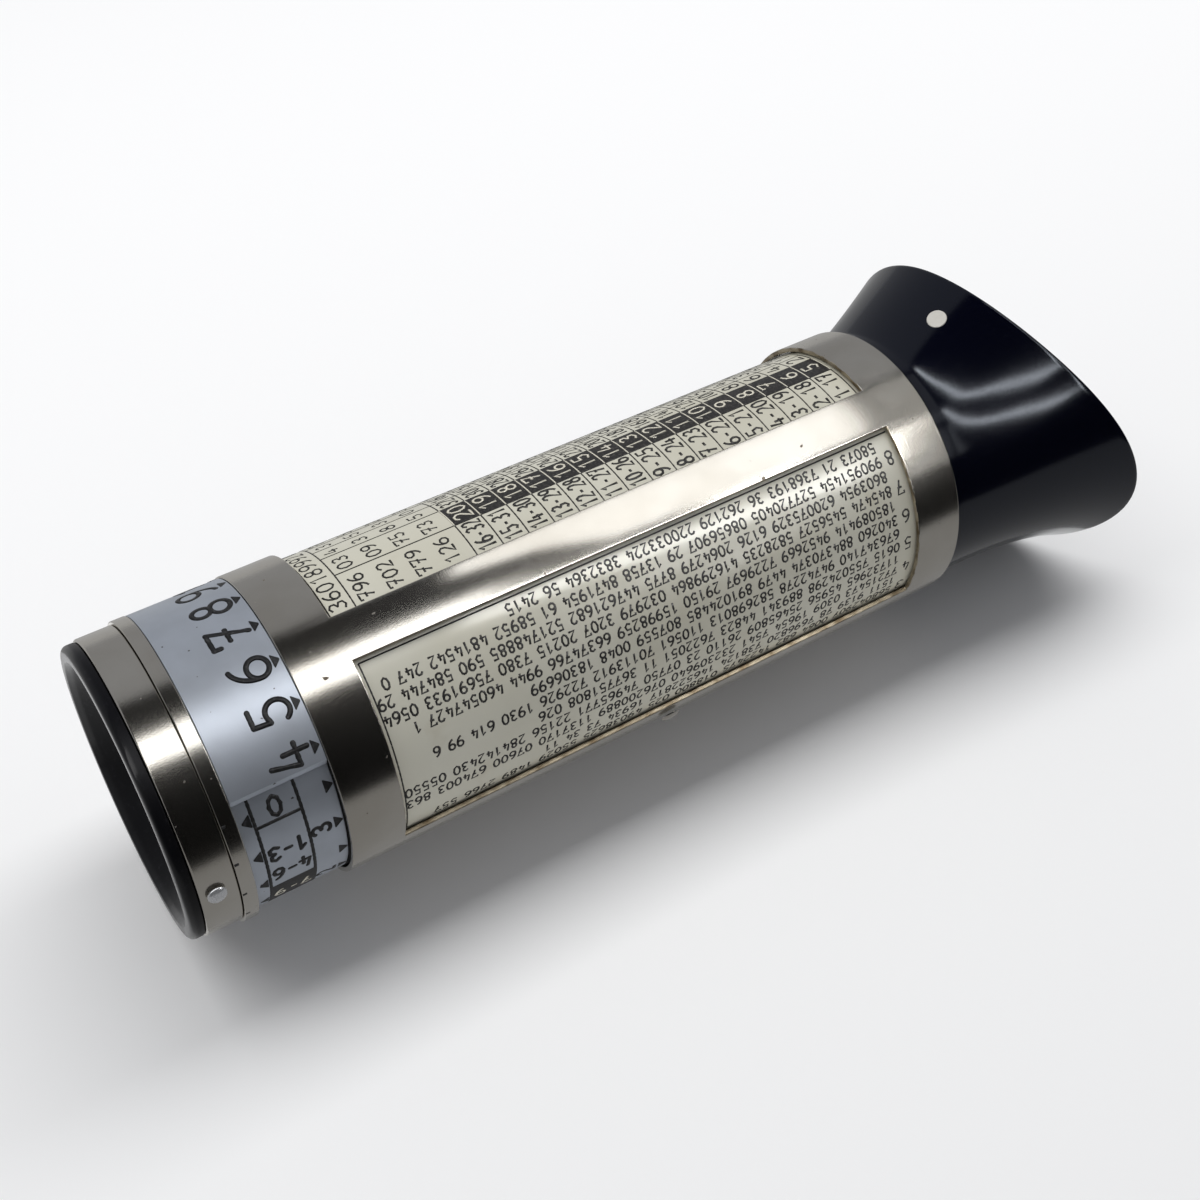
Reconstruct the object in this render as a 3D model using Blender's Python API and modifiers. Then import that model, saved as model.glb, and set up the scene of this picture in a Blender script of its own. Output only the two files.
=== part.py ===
"""Tubular optical exposure meter: a nickel tube with turning scale rings and a sliding eyepiece.

Metres, +Z up. The tube lies along X, with its eyecup towards +X. Every piece is modelled about
the tube's own axis, with x = 0 at the front edge of the body sleeve, and hangs on an empty that
stands on that axis. Angles go round the axis from +Y towards +Z.
"""

import math

import bmesh
import bpy
from mathutils import Matrix, Vector

MM = 0.001

# Fits: the gap left between pieces that touch, turn or slide on each other
FIT = 0.2 * MM
RIVET_SEAT_GAP = 0.05 * MM

# Flats round a turned piece: one always faces down, so the meter lies still
OUTER_STEPS = 48
INNER_STEPS = 32

# Body sleeve and the two windows in it
BODY_RADIUS = 15.0 * MM
BODY_LENGTH = 69.8 * MM
SLEEVE_WALL = 0.5 * MM
WINDOW_INSET = 5.35 * MM
WINDOW_ARC = math.radians(77.7)
WINDOW_BRIDGE = math.radians(17.6)
BRIDGE_ANGLE = math.radians(112.0)

# Printed sheets between the sleeve and the inner tube
SHEET_THICKNESS = 0.25 * MM
SHEET_MARGIN = 0.5 * MM
SHEET_MARGIN_ARC = math.radians(3.0)

# Inner tube
NECK_WALL = 0.75 * MM
REAR_LAND = 3.4 * MM

# Rings in front of the sleeve, from the sleeve forwards
SCALE_WIDTH = 9.06 * MM
SCALE_DROP = 0.15 * MM
SCALE_WALL = 0.4 * MM
SCALE_CUT_START = math.radians(149.0)
SCALE_CUT_ARC = math.radians(115.0)
SPEED_WALL = 1.1 * MM
INDEX_WIDTH = 1.43 * MM
INDEX_DROP = 0.1 * MM
BEZEL_WIDTH = 3.43 * MM
BEZEL_WALL = 1.45 * MM
BEZEL_ROUND = 0.25 * MM

# Objective ring
OBJECTIVE_STANDOUT = 1.35 * MM
OBJECTIVE_DROP = 0.2 * MM
OBJECTIVE_ROUND = 0.6 * MM
OBJECTIVE_FACE = 0.8 * MM
OBJECTIVE_WALL = 1.0 * MM
OBJECTIVE_CONE = 2.6 * MM
OBJECTIVE_LENGTH = 5.4 * MM
TUBE_SETBACK = 0.5 * MM
ROUND_ROWS = 3

# Optical stack inside the tube, from the front
GLASS_THICKNESS = 1.5 * MM
SPACER_LENGTH = 24.0 * MM
SPACER_WALL = 0.8 * MM
STOP_THICKNESS = 0.8 * MM
STOP_WINDOW_WIDTH = 13.0 * MM
STOP_WINDOW_HEIGHT = 7.0 * MM
WEDGE_THICKNESS = 1.0 * MM
PLATE_THICKNESS = 1.2 * MM
PLATE_RING_LENGTH = 2.0 * MM
PLATE_RING_WALL = 1.6 * MM

# Sliding eyepiece
DRAW_LENGTH = 26.9 * MM
DRAW_STANDOUT = 2.9 * MM
DRAW_WALL = 1.0 * MM
GROOVE_SETBACK = 2.0 * MM
GROOVE_WIDTH = 2.4 * MM
GROOVE_DEPTH = 0.5 * MM
SPRING_THICKNESS = 0.4 * MM
SPRING_ARC = math.radians(325.0)
LENS_LIP = 0.7 * MM
LENS_SETBACK = 6.0 * MM
LENS_EDGE = 1.6 * MM
LENS_BULGE = 1.7 * MM
LENS_RING_LENGTH = 2.0 * MM
LENS_RING_WALL = 1.2 * MM
EYEPIECE_RING_WALL = 0.8 * MM
EYEPIECE_RING_SPIGOT = 5.0 * MM
EYEPIECE_FLANGE = 1.0 * MM

# Eyecup: a horn whose rim lies off the tube's axis, slants back and dips at its sides
CUP_DROP = 0.85 * MM
CUP_NECK = 1.3 * MM
CUP_WALL = 1.5 * MM
CUP_SHOULDER = 1.4 * MM
RIM_FLARE = 4.15 * MM
RIM_SHIFT = 1.1 * MM
RIM_MEAN = 17.2 * MM
RIM_SLANT = 6.4 * MM
RIM_SLANT_ANGLE = math.radians(220.0)
RIM_DIP = 1.9 * MM
RIM_DIP_ANGLE = math.radians(193.0)
RIM_LIP = 0.3 * MM
FLARE_POWER = 1.7
FLARE_POWER_SWING = 0.6
FLARE_ROWS = 6
DOT_RADIUS = 1.05 * MM
DOT_DEPTH = 0.8 * MM
DOT_ANGLE = math.radians(89.3)
DOT_HEIGHT = 0.6

# Rivets and pins
RIVET_RADIUS = 1.0 * MM
RIVET_SHANK = 0.6 * MM
RIVET_DOME = 0.35 * MM
RIVET_SETBACK_ARC = math.radians(8.0)
PIN_RADIUS = 0.9 * MM
PIN_SHANK = 0.5 * MM
PIN_DOME = 0.45 * MM
PIN_SETBACK = 2.0 * MM
PIN_ANGLE = math.radians(178.0)
FASTENER_STEPS = 16
DOME_ROWS = 4

# Colours
NICKEL = (0.62, 0.60, 0.55)
SCALE_SILVER = (0.60, 0.64, 0.70)
IVORY = (0.80, 0.77, 0.64)
BLACK_LACQUER = (0.012, 0.012, 0.015)
BAKELITE = (0.010, 0.011, 0.016)
BLACKENED = (0.03, 0.03, 0.03)
CLEAR_GLASS = (0.85, 0.90, 0.90)
SMOKE_GLASS = (0.25, 0.25, 0.26)
MILK_GLASS = (0.75, 0.76, 0.74)
STEEL = (0.55, 0.56, 0.58)
PALE_INLAY = (0.62, 0.60, 0.56)

# Radii worked out from the sizes above
sleeve_bore = BODY_RADIUS - SLEEVE_WALL
land_radius = sleeve_bore - FIT
sheet_bore = land_radius - SHEET_THICKNESS
recess_radius = sheet_bore - FIT
scale_radius = BODY_RADIUS - SCALE_DROP
scale_bore = scale_radius - SCALE_WALL
speed_radius = scale_bore - FIT
ring_bore = speed_radius - SPEED_WALL
neck_radius = ring_bore - FIT
tube_bore = neck_radius - NECK_WALL
index_radius = BODY_RADIUS - INDEX_DROP
bezel_radius = ring_bore + BEZEL_WALL
objective_radius = bezel_radius - OBJECTIVE_DROP
objective_mouth = objective_radius - OBJECTIVE_ROUND - OBJECTIVE_FACE
stack_radius = tube_bore - FIT
objective_bore = stack_radius - OBJECTIVE_WALL
draw_bore = stack_radius - DRAW_WALL
lens_radius = draw_bore - FIT
eye_bore = draw_bore - LENS_LIP
spigot_radius = eye_bore - FIT
cup_radius = BODY_RADIUS - CUP_DROP
bell_radius = cup_radius - CUP_WALL
rim_radius = cup_radius + RIM_FLARE

# Places along the tube
window_rear = BODY_LENGTH - WINDOW_INSET
sheet_front = WINDOW_INSET - SHEET_MARGIN
scale_front = -SCALE_WIDTH
index_front = scale_front - INDEX_WIDTH
bezel_front = index_front - BEZEL_WIDTH
objective_front = bezel_front - OBJECTIVE_STANDOUT
tube_front = bezel_front + TUBE_SETBACK
tube_rear = BODY_LENGTH - FIT
draw_rear = BODY_LENGTH + DRAW_STANDOUT
draw_front = draw_rear - DRAW_LENGTH
lens_seat = draw_rear - LENS_SETBACK
cup_front = BODY_LENGTH + FIT
socket_rear = draw_rear + FIT
cup_floor = socket_rear + CUP_SHOULDER
horn_front = cup_front + CUP_NECK
cup_angles = [math.tau * (step + 0.5) / OUTER_STEPS for step in range(OUTER_STEPS)]


def rim_place(angle):
    """(x, radius) of the eyecup's rim: round in end view, slanted and dipped along the tube."""
    slant = RIM_SLANT * math.cos(angle - RIM_SLANT_ANGLE)
    dip = RIM_DIP * math.cos(2 * (angle - RIM_DIP_ANGLE))
    reach = math.sqrt(rim_radius ** 2 - (RIM_SHIFT * math.sin(angle)) ** 2)
    return cup_front + RIM_MEAN + slant + dip, reach + RIM_SHIFT * math.cos(angle)


# The frame's origin lies under the middle of the whole object, at its lowest point
rim_tip = max(rim_place(angle)[0] for angle in cup_angles)
axis_place = Vector((-(objective_front + rim_tip) / 2, -RIM_SHIFT, rim_radius))


def new_collection(name):
    collection = bpy.data.collections.new(name)
    bpy.context.scene.collection.children.link(collection)
    return collection


for leftover in list(bpy.data.objects):
    bpy.data.objects.remove(leftover)
parts = new_collection("exposure_meter")
cutters = new_collection("cutters")


def new_frame(name, parent=None):
    """An empty on the tube's axis that carries one group of pieces."""
    frame = bpy.data.objects.new(name, None)
    frame.empty_display_size = BODY_RADIUS
    frame.parent = parent
    parts.objects.link(frame)
    return frame


tube_frame = new_frame("tube_frame")
tube_frame.location = axis_place
speed_frame = new_frame("speed_frame", tube_frame)
scale_frame = new_frame("scale_frame", speed_frame)
eyepiece_frame = new_frame("eyepiece_frame", tube_frame)
cup_frame = new_frame("cup_frame", eyepiece_frame)


def finish(name, colour, roughness, metallic=0.0, transmission=0.0):
    """A plain Principled material of the piece's own."""
    material = bpy.data.materials.new(name)
    material.use_nodes = True
    shader = material.node_tree.nodes["Principled BSDF"]
    shader.inputs["Base Color"].default_value = (*colour, 1.0)
    shader.inputs["Roughness"].default_value = roughness
    shader.inputs["Metallic"].default_value = metallic
    shader.inputs["Transmission Weight"].default_value = transmission
    material.diffuse_color = (*colour, 1.0)
    return material


def new_part(name, mesh, frame, material):
    part = bpy.data.objects.new(name, mesh)
    part.parent = frame
    mesh.materials.append(material)
    parts.objects.link(part)
    return part


def new_cutter(name, mesh, frame):
    cutter = bpy.data.objects.new(name, mesh)
    cutter.parent = frame
    cutter.hide_render = True
    cutter.display_type = "WIRE"
    cutters.objects.link(cutter)
    return cutter


def cut(part, cutter):
    boolean = part.modifiers.new(cutter.name, "BOOLEAN")
    boolean.operation = "DIFFERENCE"
    boolean.solver = "EXACT"
    boolean.object = cutter


def section_mesh(name, section, steps, closed):
    """The (x, radius) points of a section, joined up, half a step round from the Y axis."""
    half_step = math.pi / steps
    mesh = bpy.data.meshes.new(name)
    points = [(x, r * math.cos(half_step), r * math.sin(half_step)) for x, r in section]
    edges = [(i, i + 1) for i in range(len(points) - 1)]
    if closed:
        edges.append((len(points) - 1, 0))
    mesh.from_pydata(points, edges, [])
    return mesh


def turned(name, section, frame, material, steps=OUTER_STEPS, closed=True):
    """A piece turned about the tube's axis; its section runs along the outside towards +X."""
    part = new_part(name, section_mesh(name, section, steps, closed), frame, material)
    screw = part.modifiers.new("Turn", "SCREW")
    screw.axis = "X"
    screw.use_normal_flip = True
    screw.steps = steps
    screw.render_steps = steps
    screw.use_merge_vertices = True
    screw.merge_threshold = FIT / 100
    return part


def ring(name, front, rear, bore, radius, frame, material, steps=OUTER_STEPS):
    section = [(front, bore), (front, radius), (rear, radius), (rear, bore)]
    return turned(name, section, frame, material, steps)


def disc(name, front, rear, radius, frame, material):
    section = [(front, 0.0), (front, radius), (rear, radius), (rear, 0.0)]
    return turned(name, section, frame, material, INNER_STEPS, closed=False)


def front_round(front, radius, size):
    """Points of the rounded outer corner at the front of a turned section."""
    leans = [math.pi / 2 * row / ROUND_ROWS for row in range(ROUND_ROWS + 1)]
    return [(front + size * (1 - math.cos(lean)), radius - size * (1 - math.sin(lean))) for lean in leans]


def sector_mesh(name, front, rear, bore, radius, start, arc):
    """A curved plate: a rectangle spun part of the way round the axis."""
    mesh = bpy.data.meshes.new(name)
    steps = max(2, round(OUTER_STEPS * arc / math.tau))
    turn = Matrix.Rotation(start, 4, "X")
    bm = bmesh.new()
    corners = [(front, bore), (front, radius), (rear, radius), (rear, bore)]
    face = bm.faces.new([bm.verts.new(turn @ Vector((x, r, 0.0))) for x, r in corners])
    bmesh.ops.spin(
        bm, geom=[face, *face.edges, *face.verts], axis=(1, 0, 0), cent=(0, 0, 0),
        angle=arc, steps=steps, use_duplicate=False)
    bmesh.ops.recalc_face_normals(bm, faces=bm.faces)
    bm.to_mesh(mesh)
    bm.free()
    mesh.shade_smooth()
    return mesh


def cylinder_mesh(name, radius, length):
    """A cylinder about Z, from z = 0 down to -length."""
    mesh = bpy.data.meshes.new(name)
    bm = bmesh.new()
    bmesh.ops.create_cone(
        bm, cap_ends=True, segments=FASTENER_STEPS, radius1=radius, radius2=radius, depth=length)
    bmesh.ops.translate(bm, verts=bm.verts, vec=(0, 0, -length / 2))
    bm.to_mesh(mesh)
    bm.free()
    return mesh


def point_outwards(thing, x, radius, angle, normal=None):
    """Places a piece modelled about Z so that its Z axis leaves the tube at this place."""
    outwards = Vector((0.0, math.cos(angle), math.sin(angle)))
    turn = Vector((0, 0, 1)).rotation_difference(normal or outwards)
    thing.location = Vector((x, 0, 0)) + outwards * radius
    thing.rotation_euler = turn.to_euler()


# Inner tube: carries the rings on its neck, the sheets in its recess and the sleeve on its lands
inner_tube = turned(
    "inner_tube",
    [
        (tube_front, tube_bore),
        (tube_front, neck_radius),
        (0.0, neck_radius),
        (0.0, land_radius),
        (sheet_front - FIT, land_radius),
        (sheet_front - FIT, recess_radius),
        (BODY_LENGTH - REAR_LAND, recess_radius),
        (BODY_LENGTH - REAR_LAND, land_radius),
        (tube_rear, land_radius),
        (tube_rear, tube_bore),
    ],
    tube_frame,
    finish("inner_tube", BLACKENED, 0.6, 0.6),
)

# Body sleeve: thin tube with a window over each printed sheet
body_sleeve = ring(
    "body_sleeve", 0.0, BODY_LENGTH, sleeve_bore, BODY_RADIUS, tube_frame,
    finish("body_sleeve", NICKEL, 0.3, 1.0))
table_window_start = BRIDGE_ANGLE - WINDOW_BRIDGE / 2 - WINDOW_ARC
instruction_window_start = BRIDGE_ANGLE + WINDOW_BRIDGE / 2
for sheet_name, window_start in (
    ("table_sheet", table_window_start),
    ("instruction_sheet", instruction_window_start),
):
    window = sector_mesh(
        sheet_name + "_window", WINDOW_INSET, window_rear, sleeve_bore - SLEEVE_WALL,
        BODY_RADIUS + SLEEVE_WALL, window_start, WINDOW_ARC)
    cut(body_sleeve, new_cutter(sheet_name + "_window", window, tube_frame))
    sheet = sector_mesh(
        sheet_name, sheet_front, window_rear + SHEET_MARGIN, sheet_bore,
        land_radius, window_start - SHEET_MARGIN_ARC, WINDOW_ARC + 2 * SHEET_MARGIN_ARC)
    new_part(sheet_name, sheet, tube_frame, finish(sheet_name, IVORY, 0.25))

# Scale rings: the speed ring turns on the neck, and the open scale sleeve turns on the speed ring
ring(
    "speed_ring", scale_front + FIT, -FIT, ring_bore, speed_radius, speed_frame,
    finish("speed_ring", SCALE_SILVER, 0.4, 0.8))
scale_arc = sector_mesh(
    "scale_sleeve", scale_front + FIT, -FIT, scale_bore, scale_radius,
    SCALE_CUT_START + SCALE_CUT_ARC, math.tau - SCALE_CUT_ARC)
new_part("scale_sleeve", scale_arc, scale_frame, finish("scale_sleeve", SCALE_SILVER, 0.4, 0.8))

# Index ring and front bezel: fixed on the neck in front of the scale rings
ring(
    "index_ring", index_front + FIT, scale_front, ring_bore, index_radius, tube_frame,
    finish("index_ring", NICKEL, 0.3, 1.0))
front_bezel = turned(
    "front_bezel",
    [
        (bezel_front, ring_bore),
        *front_round(bezel_front, bezel_radius, BEZEL_ROUND),
        (index_front, bezel_radius),
        (index_front, ring_bore),
    ],
    tube_frame,
    finish("front_bezel", NICKEL, 0.3, 1.0),
)

# Objective ring: screwed into the tube, with a flat face at the very front
turned(
    "objective_ring",
    [
        (objective_front, objective_mouth),
        *front_round(objective_front, objective_radius, OBJECTIVE_ROUND),
        (bezel_front - FIT, objective_radius),
        (bezel_front - FIT, neck_radius),
        (tube_front - FIT, neck_radius),
        (tube_front - FIT, stack_radius),
        (objective_front + OBJECTIVE_LENGTH, stack_radius),
        (objective_front + OBJECTIVE_LENGTH, objective_bore),
        (objective_front + OBJECTIVE_CONE, objective_bore),
    ],
    tube_frame,
    finish("objective_ring", BLACK_LACQUER, 0.3),
)

# Optical stack: each piece starts one gap behind the one in front
glass_front = objective_front + OBJECTIVE_LENGTH + FIT
spacer_front = glass_front + GLASS_THICKNESS + FIT
stop_front = spacer_front + SPACER_LENGTH + FIT
wedge_front = stop_front + STOP_THICKNESS + FIT
plate_front = wedge_front + WEDGE_THICKNESS + FIT
plate_ring_front = plate_front + PLATE_THICKNESS + FIT
disc(
    "front_glass", glass_front, glass_front + GLASS_THICKNESS, stack_radius, tube_frame,
    finish("front_glass", CLEAR_GLASS, 0.1, transmission=1.0))
ring(
    "spacer_tube", spacer_front, spacer_front + SPACER_LENGTH, stack_radius - SPACER_WALL,
    stack_radius, tube_frame, finish("spacer_tube", BLACKENED, 0.8), INNER_STEPS)
field_stop = disc(
    "field_stop", stop_front, stop_front + STOP_THICKNESS, stack_radius, tube_frame,
    finish("field_stop", BLACKENED, 0.8))
disc(
    "grey_wedge", wedge_front, wedge_front + WEDGE_THICKNESS, stack_radius, tube_frame,
    finish("grey_wedge", SMOKE_GLASS, 0.1, transmission=0.6))
disc(
    "number_plate", plate_front, plate_front + PLATE_THICKNESS, stack_radius, tube_frame,
    finish("number_plate", MILK_GLASS, 0.4, transmission=0.4))
ring(
    "plate_ring", plate_ring_front, plate_ring_front + PLATE_RING_LENGTH,
    stack_radius - PLATE_RING_WALL, stack_radius, tube_frame,
    finish("plate_ring", BLACKENED, 0.6, 0.6), INNER_STEPS)

# Window of the field stop
bm = bmesh.new()
bmesh.ops.create_cube(bm)
window_size = (STOP_THICKNESS * 3, STOP_WINDOW_WIDTH, STOP_WINDOW_HEIGHT)
bmesh.ops.scale(bm, verts=bm.verts, vec=window_size)
bmesh.ops.translate(bm, verts=bm.verts, vec=(stop_front + STOP_THICKNESS / 2, 0, 0))
stop_window = bpy.data.meshes.new("stop_window")
bm.to_mesh(stop_window)
bm.free()
cut(field_stop, new_cutter("stop_window", stop_window, tube_frame))

# Draw tube: slides in the inner tube, with a groove for its spring and a lip for the lens
groove_front = draw_front + GROOVE_SETBACK
turned(
    "draw_tube",
    [
        (draw_front, draw_bore),
        (draw_front, stack_radius),
        (groove_front, stack_radius),
        (groove_front, stack_radius - GROOVE_DEPTH),
        (groove_front + GROOVE_WIDTH, stack_radius - GROOVE_DEPTH),
        (groove_front + GROOVE_WIDTH, stack_radius),
        (draw_rear, stack_radius),
        (draw_rear, eye_bore),
        (lens_seat, eye_bore),
        (lens_seat, draw_bore),
    ],
    eyepiece_frame,
    finish("draw_tube", NICKEL, 0.3, 1.0),
    INNER_STEPS,
)
spring_bore = (stack_radius - GROOVE_DEPTH + tube_bore - SPRING_THICKNESS) / 2
spring = sector_mesh(
    "friction_spring", groove_front + FIT, groove_front + GROOVE_WIDTH - FIT, spring_bore,
    spring_bore + SPRING_THICKNESS, (math.tau - SPRING_ARC) / 2, SPRING_ARC)
new_part("friction_spring", spring, eyepiece_frame, finish("friction_spring", STEEL, 0.35, 1.0))


def lens_height(radius):
    """How far a face of the lens stands out from its edge, at this distance from the axis."""
    sphere = (lens_radius ** 2 + LENS_BULGE ** 2) / (2 * LENS_BULGE)
    return math.sqrt(sphere ** 2 - radius ** 2) - (sphere - LENS_BULGE)


# Loupe lens and the ring that holds it against the lip
lens_rear = lens_seat - FIT
lens_front = lens_rear - LENS_EDGE
lens_heights = [(lens_height(lens_radius * i / DOME_ROWS), lens_radius * i / DOME_ROWS)
                for i in range(DOME_ROWS + 1)]
turned(
    "loupe_lens",
    [(lens_front - height, r) for height, r in lens_heights]
    + [(lens_rear + height, r) for height, r in reversed(lens_heights)],
    eyepiece_frame,
    finish("loupe_lens", CLEAR_GLASS, 0.02, transmission=1.0),
    INNER_STEPS,
    closed=False,
)
lens_ring_bore = lens_radius - LENS_RING_WALL
lens_ring_rear = lens_front - lens_height(lens_ring_bore) - FIT
ring(
    "lens_ring", lens_ring_rear - LENS_RING_LENGTH, lens_ring_rear, lens_ring_bore, lens_radius,
    eyepiece_frame, finish("lens_ring", BLACKENED, 0.6, 0.6), INNER_STEPS)

# Eyepiece ring: its flange keeps the eyecup on the draw tube and lets it turn
eyepiece_ring_bore = spigot_radius - EYEPIECE_RING_WALL
flange_front = cup_floor + FIT
turned(
    "eyepiece_ring",
    [
        (flange_front - EYEPIECE_RING_SPIGOT, eyepiece_ring_bore),
        (flange_front - EYEPIECE_RING_SPIGOT, spigot_radius),
        (flange_front, spigot_radius),
        (flange_front, bell_radius - FIT),
        (flange_front + EYEPIECE_FLANGE, bell_radius - FIT),
        (flange_front + EYEPIECE_FLANGE, eyepiece_ring_bore),
    ],
    eyepiece_frame,
    finish("eyepiece_ring", BLACKENED, 0.5, 0.6),
    INNER_STEPS,
)


def horn_radius(angle, x):
    """Outside radius of the horn at this angle: it flares from the neck to just before the rim."""
    rim_x, rim_r = rim_place(angle)
    part_way = (x - horn_front) / (rim_x - RIM_LIP - horn_front)
    power = FLARE_POWER + FLARE_POWER_SWING * math.cos(angle - RIM_SLANT_ANGLE)
    return cup_radius + (rim_r - cup_radius) * part_way ** power


def horn_rows(angle, start):
    """Places along the horn at this angle, from start to just before the rim."""
    end = rim_place(angle)[0] - RIM_LIP
    return [start + (end - start) * row / FLARE_ROWS for row in range(FLARE_ROWS + 1)]


def cup_section(angle):
    """The eyecup's section at this angle: out along the horn, over the lip and back inside."""
    rim_x, rim_r = rim_place(angle)
    outside = [(x, horn_radius(angle, x)) for x in horn_rows(angle, horn_front)]
    inside = [(x, horn_radius(angle, x) - CUP_WALL) for x in horn_rows(angle, cup_floor)]
    return (
        [(cup_front, cup_radius)]
        + outside
        + [(rim_x, rim_r - CUP_WALL / 2)]
        + inside[::-1]
        + [
            (cup_floor, eye_bore),
            (socket_rear, eye_bore),
            (socket_rear, stack_radius + FIT),
            (cup_front, stack_radius + FIT),
        ]
    )


# Eyecup: a loft of its section, which changes with the angle, so its faces are built here
bm = bmesh.new()
columns = []
for cup_angle in cup_angles:
    cup_turn = Matrix.Rotation(cup_angle, 4, "X")
    columns.append([bm.verts.new(cup_turn @ Vector((x, r, 0.0))) for x, r in cup_section(cup_angle)])
for column, beside in zip(columns, columns[1:] + columns[:1]):
    for i in range(len(column)):
        bm.faces.new((column[i - 1], column[i], beside[i], beside[i - 1]))
bmesh.ops.recalc_face_normals(bm, faces=bm.faces)
cup_mesh = bpy.data.meshes.new("eyecup")
bm.to_mesh(cup_mesh)
bm.free()
cup_mesh.shade_smooth()
eyecup = new_part("eyecup", cup_mesh, cup_frame, finish("eyecup", BAKELITE, 0.25))

# Pale dot: let into a blind hole on the outside of the horn
dot_x = horn_front + (rim_place(DOT_ANGLE)[0] - horn_front) * DOT_HEIGHT
dot_r = horn_radius(DOT_ANGLE, dot_x)
rise = horn_radius(DOT_ANGLE, dot_x + DOT_RADIUS) - horn_radius(DOT_ANGLE, dot_x - DOT_RADIUS)
lean = math.atan2(rise, 2 * DOT_RADIUS)
dot_normal = Vector((
    -math.sin(lean),
    math.cos(lean) * math.cos(DOT_ANGLE),
    math.cos(lean) * math.sin(DOT_ANGLE),
))
eye_dot = new_part(
    "eye_dot", cylinder_mesh("eye_dot", DOT_RADIUS, DOT_DEPTH), cup_frame,
    finish("eye_dot", PALE_INLAY, 0.4))
point_outwards(eye_dot, dot_x, dot_r, DOT_ANGLE, dot_normal)
dot_hole = new_cutter(
    "dot_hole", cylinder_mesh("dot_hole", DOT_RADIUS + FIT, 2 * (DOT_DEPTH + FIT)), cup_frame)
point_outwards(dot_hole, dot_x, dot_r, DOT_ANGLE, dot_normal)
dot_hole.location += dot_normal * (DOT_DEPTH + FIT)
cut(eyecup, dot_hole)


def add_rivet(name, head_radius, dome, shank_radius, seat, foot, x, angle, material, holed):
    """A domed rivet that stands on seat and reaches in to foot, with a hole in each holed part."""
    sphere = (head_radius ** 2 + dome ** 2) / (2 * dome)
    reach = math.asin(head_radius / sphere)
    profile = [(0.0, foot - seat), (shank_radius, foot - seat), (shank_radius, 0.0)]
    for row in range(DOME_ROWS + 1):
        lean_out = reach * (1 - row / DOME_ROWS)
        profile.append((sphere * math.sin(lean_out), sphere * math.cos(lean_out) - sphere + dome))
    mesh = bpy.data.meshes.new(name)
    points = [(r, 0.0, z) for r, z in reversed(profile)]
    mesh.from_pydata(points, [(i, i + 1) for i in range(len(points) - 1)], [])
    rivet = new_part(name, mesh, tube_frame, material)
    screw = rivet.modifiers.new("Turn", "SCREW")
    screw.steps = FASTENER_STEPS
    screw.render_steps = FASTENER_STEPS
    screw.use_merge_vertices = True
    screw.merge_threshold = FIT / 100
    point_outwards(rivet, x, seat, angle)
    length = 2 * (seat - foot)
    hole = new_cutter(name + "_hole", cylinder_mesh(name + "_hole", shank_radius + FIT, length), tube_frame)
    point_outwards(hole, x, seat + (seat - foot) / 2, angle)
    for part in holed:
        cut(part, hole)


# Sleeve rivets, one below each window, and bezel pins, one on each side
rivet_reach = WINDOW_BRIDGE / 2 + WINDOW_ARC + RIVET_SETBACK_ARC
rivet_foot = tube_bore + FIT
for side, rivet_angle in (
    ("near", BRIDGE_ANGLE + rivet_reach),
    ("far", BRIDGE_ANGLE - rivet_reach),
):
    add_rivet(
        "sleeve_rivet_" + side, RIVET_RADIUS, RIVET_DOME, RIVET_SHANK, BODY_RADIUS + RIVET_SEAT_GAP,
        rivet_foot, BODY_LENGTH / 2, rivet_angle,
        finish("sleeve_rivet_" + side, NICKEL, 0.3, 1.0), (body_sleeve, inner_tube))
for side, pin_angle in (("near", PIN_ANGLE), ("far", PIN_ANGLE + math.pi)):
    add_rivet(
        "bezel_pin_" + side, PIN_RADIUS, PIN_DOME, PIN_SHANK, bezel_radius + RIVET_SEAT_GAP,
        rivet_foot, index_front - PIN_SETBACK, pin_angle, finish("bezel_pin_" + side, STEEL, 0.25, 1.0),
        (front_bezel, inner_tube))
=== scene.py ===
import math
import random

import bpy
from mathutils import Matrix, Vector


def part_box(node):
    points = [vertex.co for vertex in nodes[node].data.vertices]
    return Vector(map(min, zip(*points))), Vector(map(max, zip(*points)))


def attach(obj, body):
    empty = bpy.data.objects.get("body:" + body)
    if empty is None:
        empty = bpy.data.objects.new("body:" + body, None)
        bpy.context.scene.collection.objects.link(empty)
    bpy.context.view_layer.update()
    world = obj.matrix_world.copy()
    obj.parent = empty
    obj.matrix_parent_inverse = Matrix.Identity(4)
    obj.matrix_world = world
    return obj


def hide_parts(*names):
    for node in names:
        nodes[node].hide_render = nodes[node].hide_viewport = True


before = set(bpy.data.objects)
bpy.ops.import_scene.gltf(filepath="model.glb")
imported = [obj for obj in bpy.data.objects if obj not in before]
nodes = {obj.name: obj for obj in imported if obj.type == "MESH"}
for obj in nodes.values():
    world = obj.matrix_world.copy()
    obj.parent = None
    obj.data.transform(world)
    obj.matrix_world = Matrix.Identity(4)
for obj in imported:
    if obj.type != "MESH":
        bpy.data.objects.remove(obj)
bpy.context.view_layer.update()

# Inner tube: turned brass, blackened against stray light. Every other piece sits on it or in it,
# and it shows only as a dark line in the gaps between the rings.
MM = 0.001
tube_low, tube_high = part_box("inner_tube")
axis_y = (tube_low.y + tube_high.y) / 2
axis_z = (tube_low.z + tube_high.z) / 2


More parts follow.
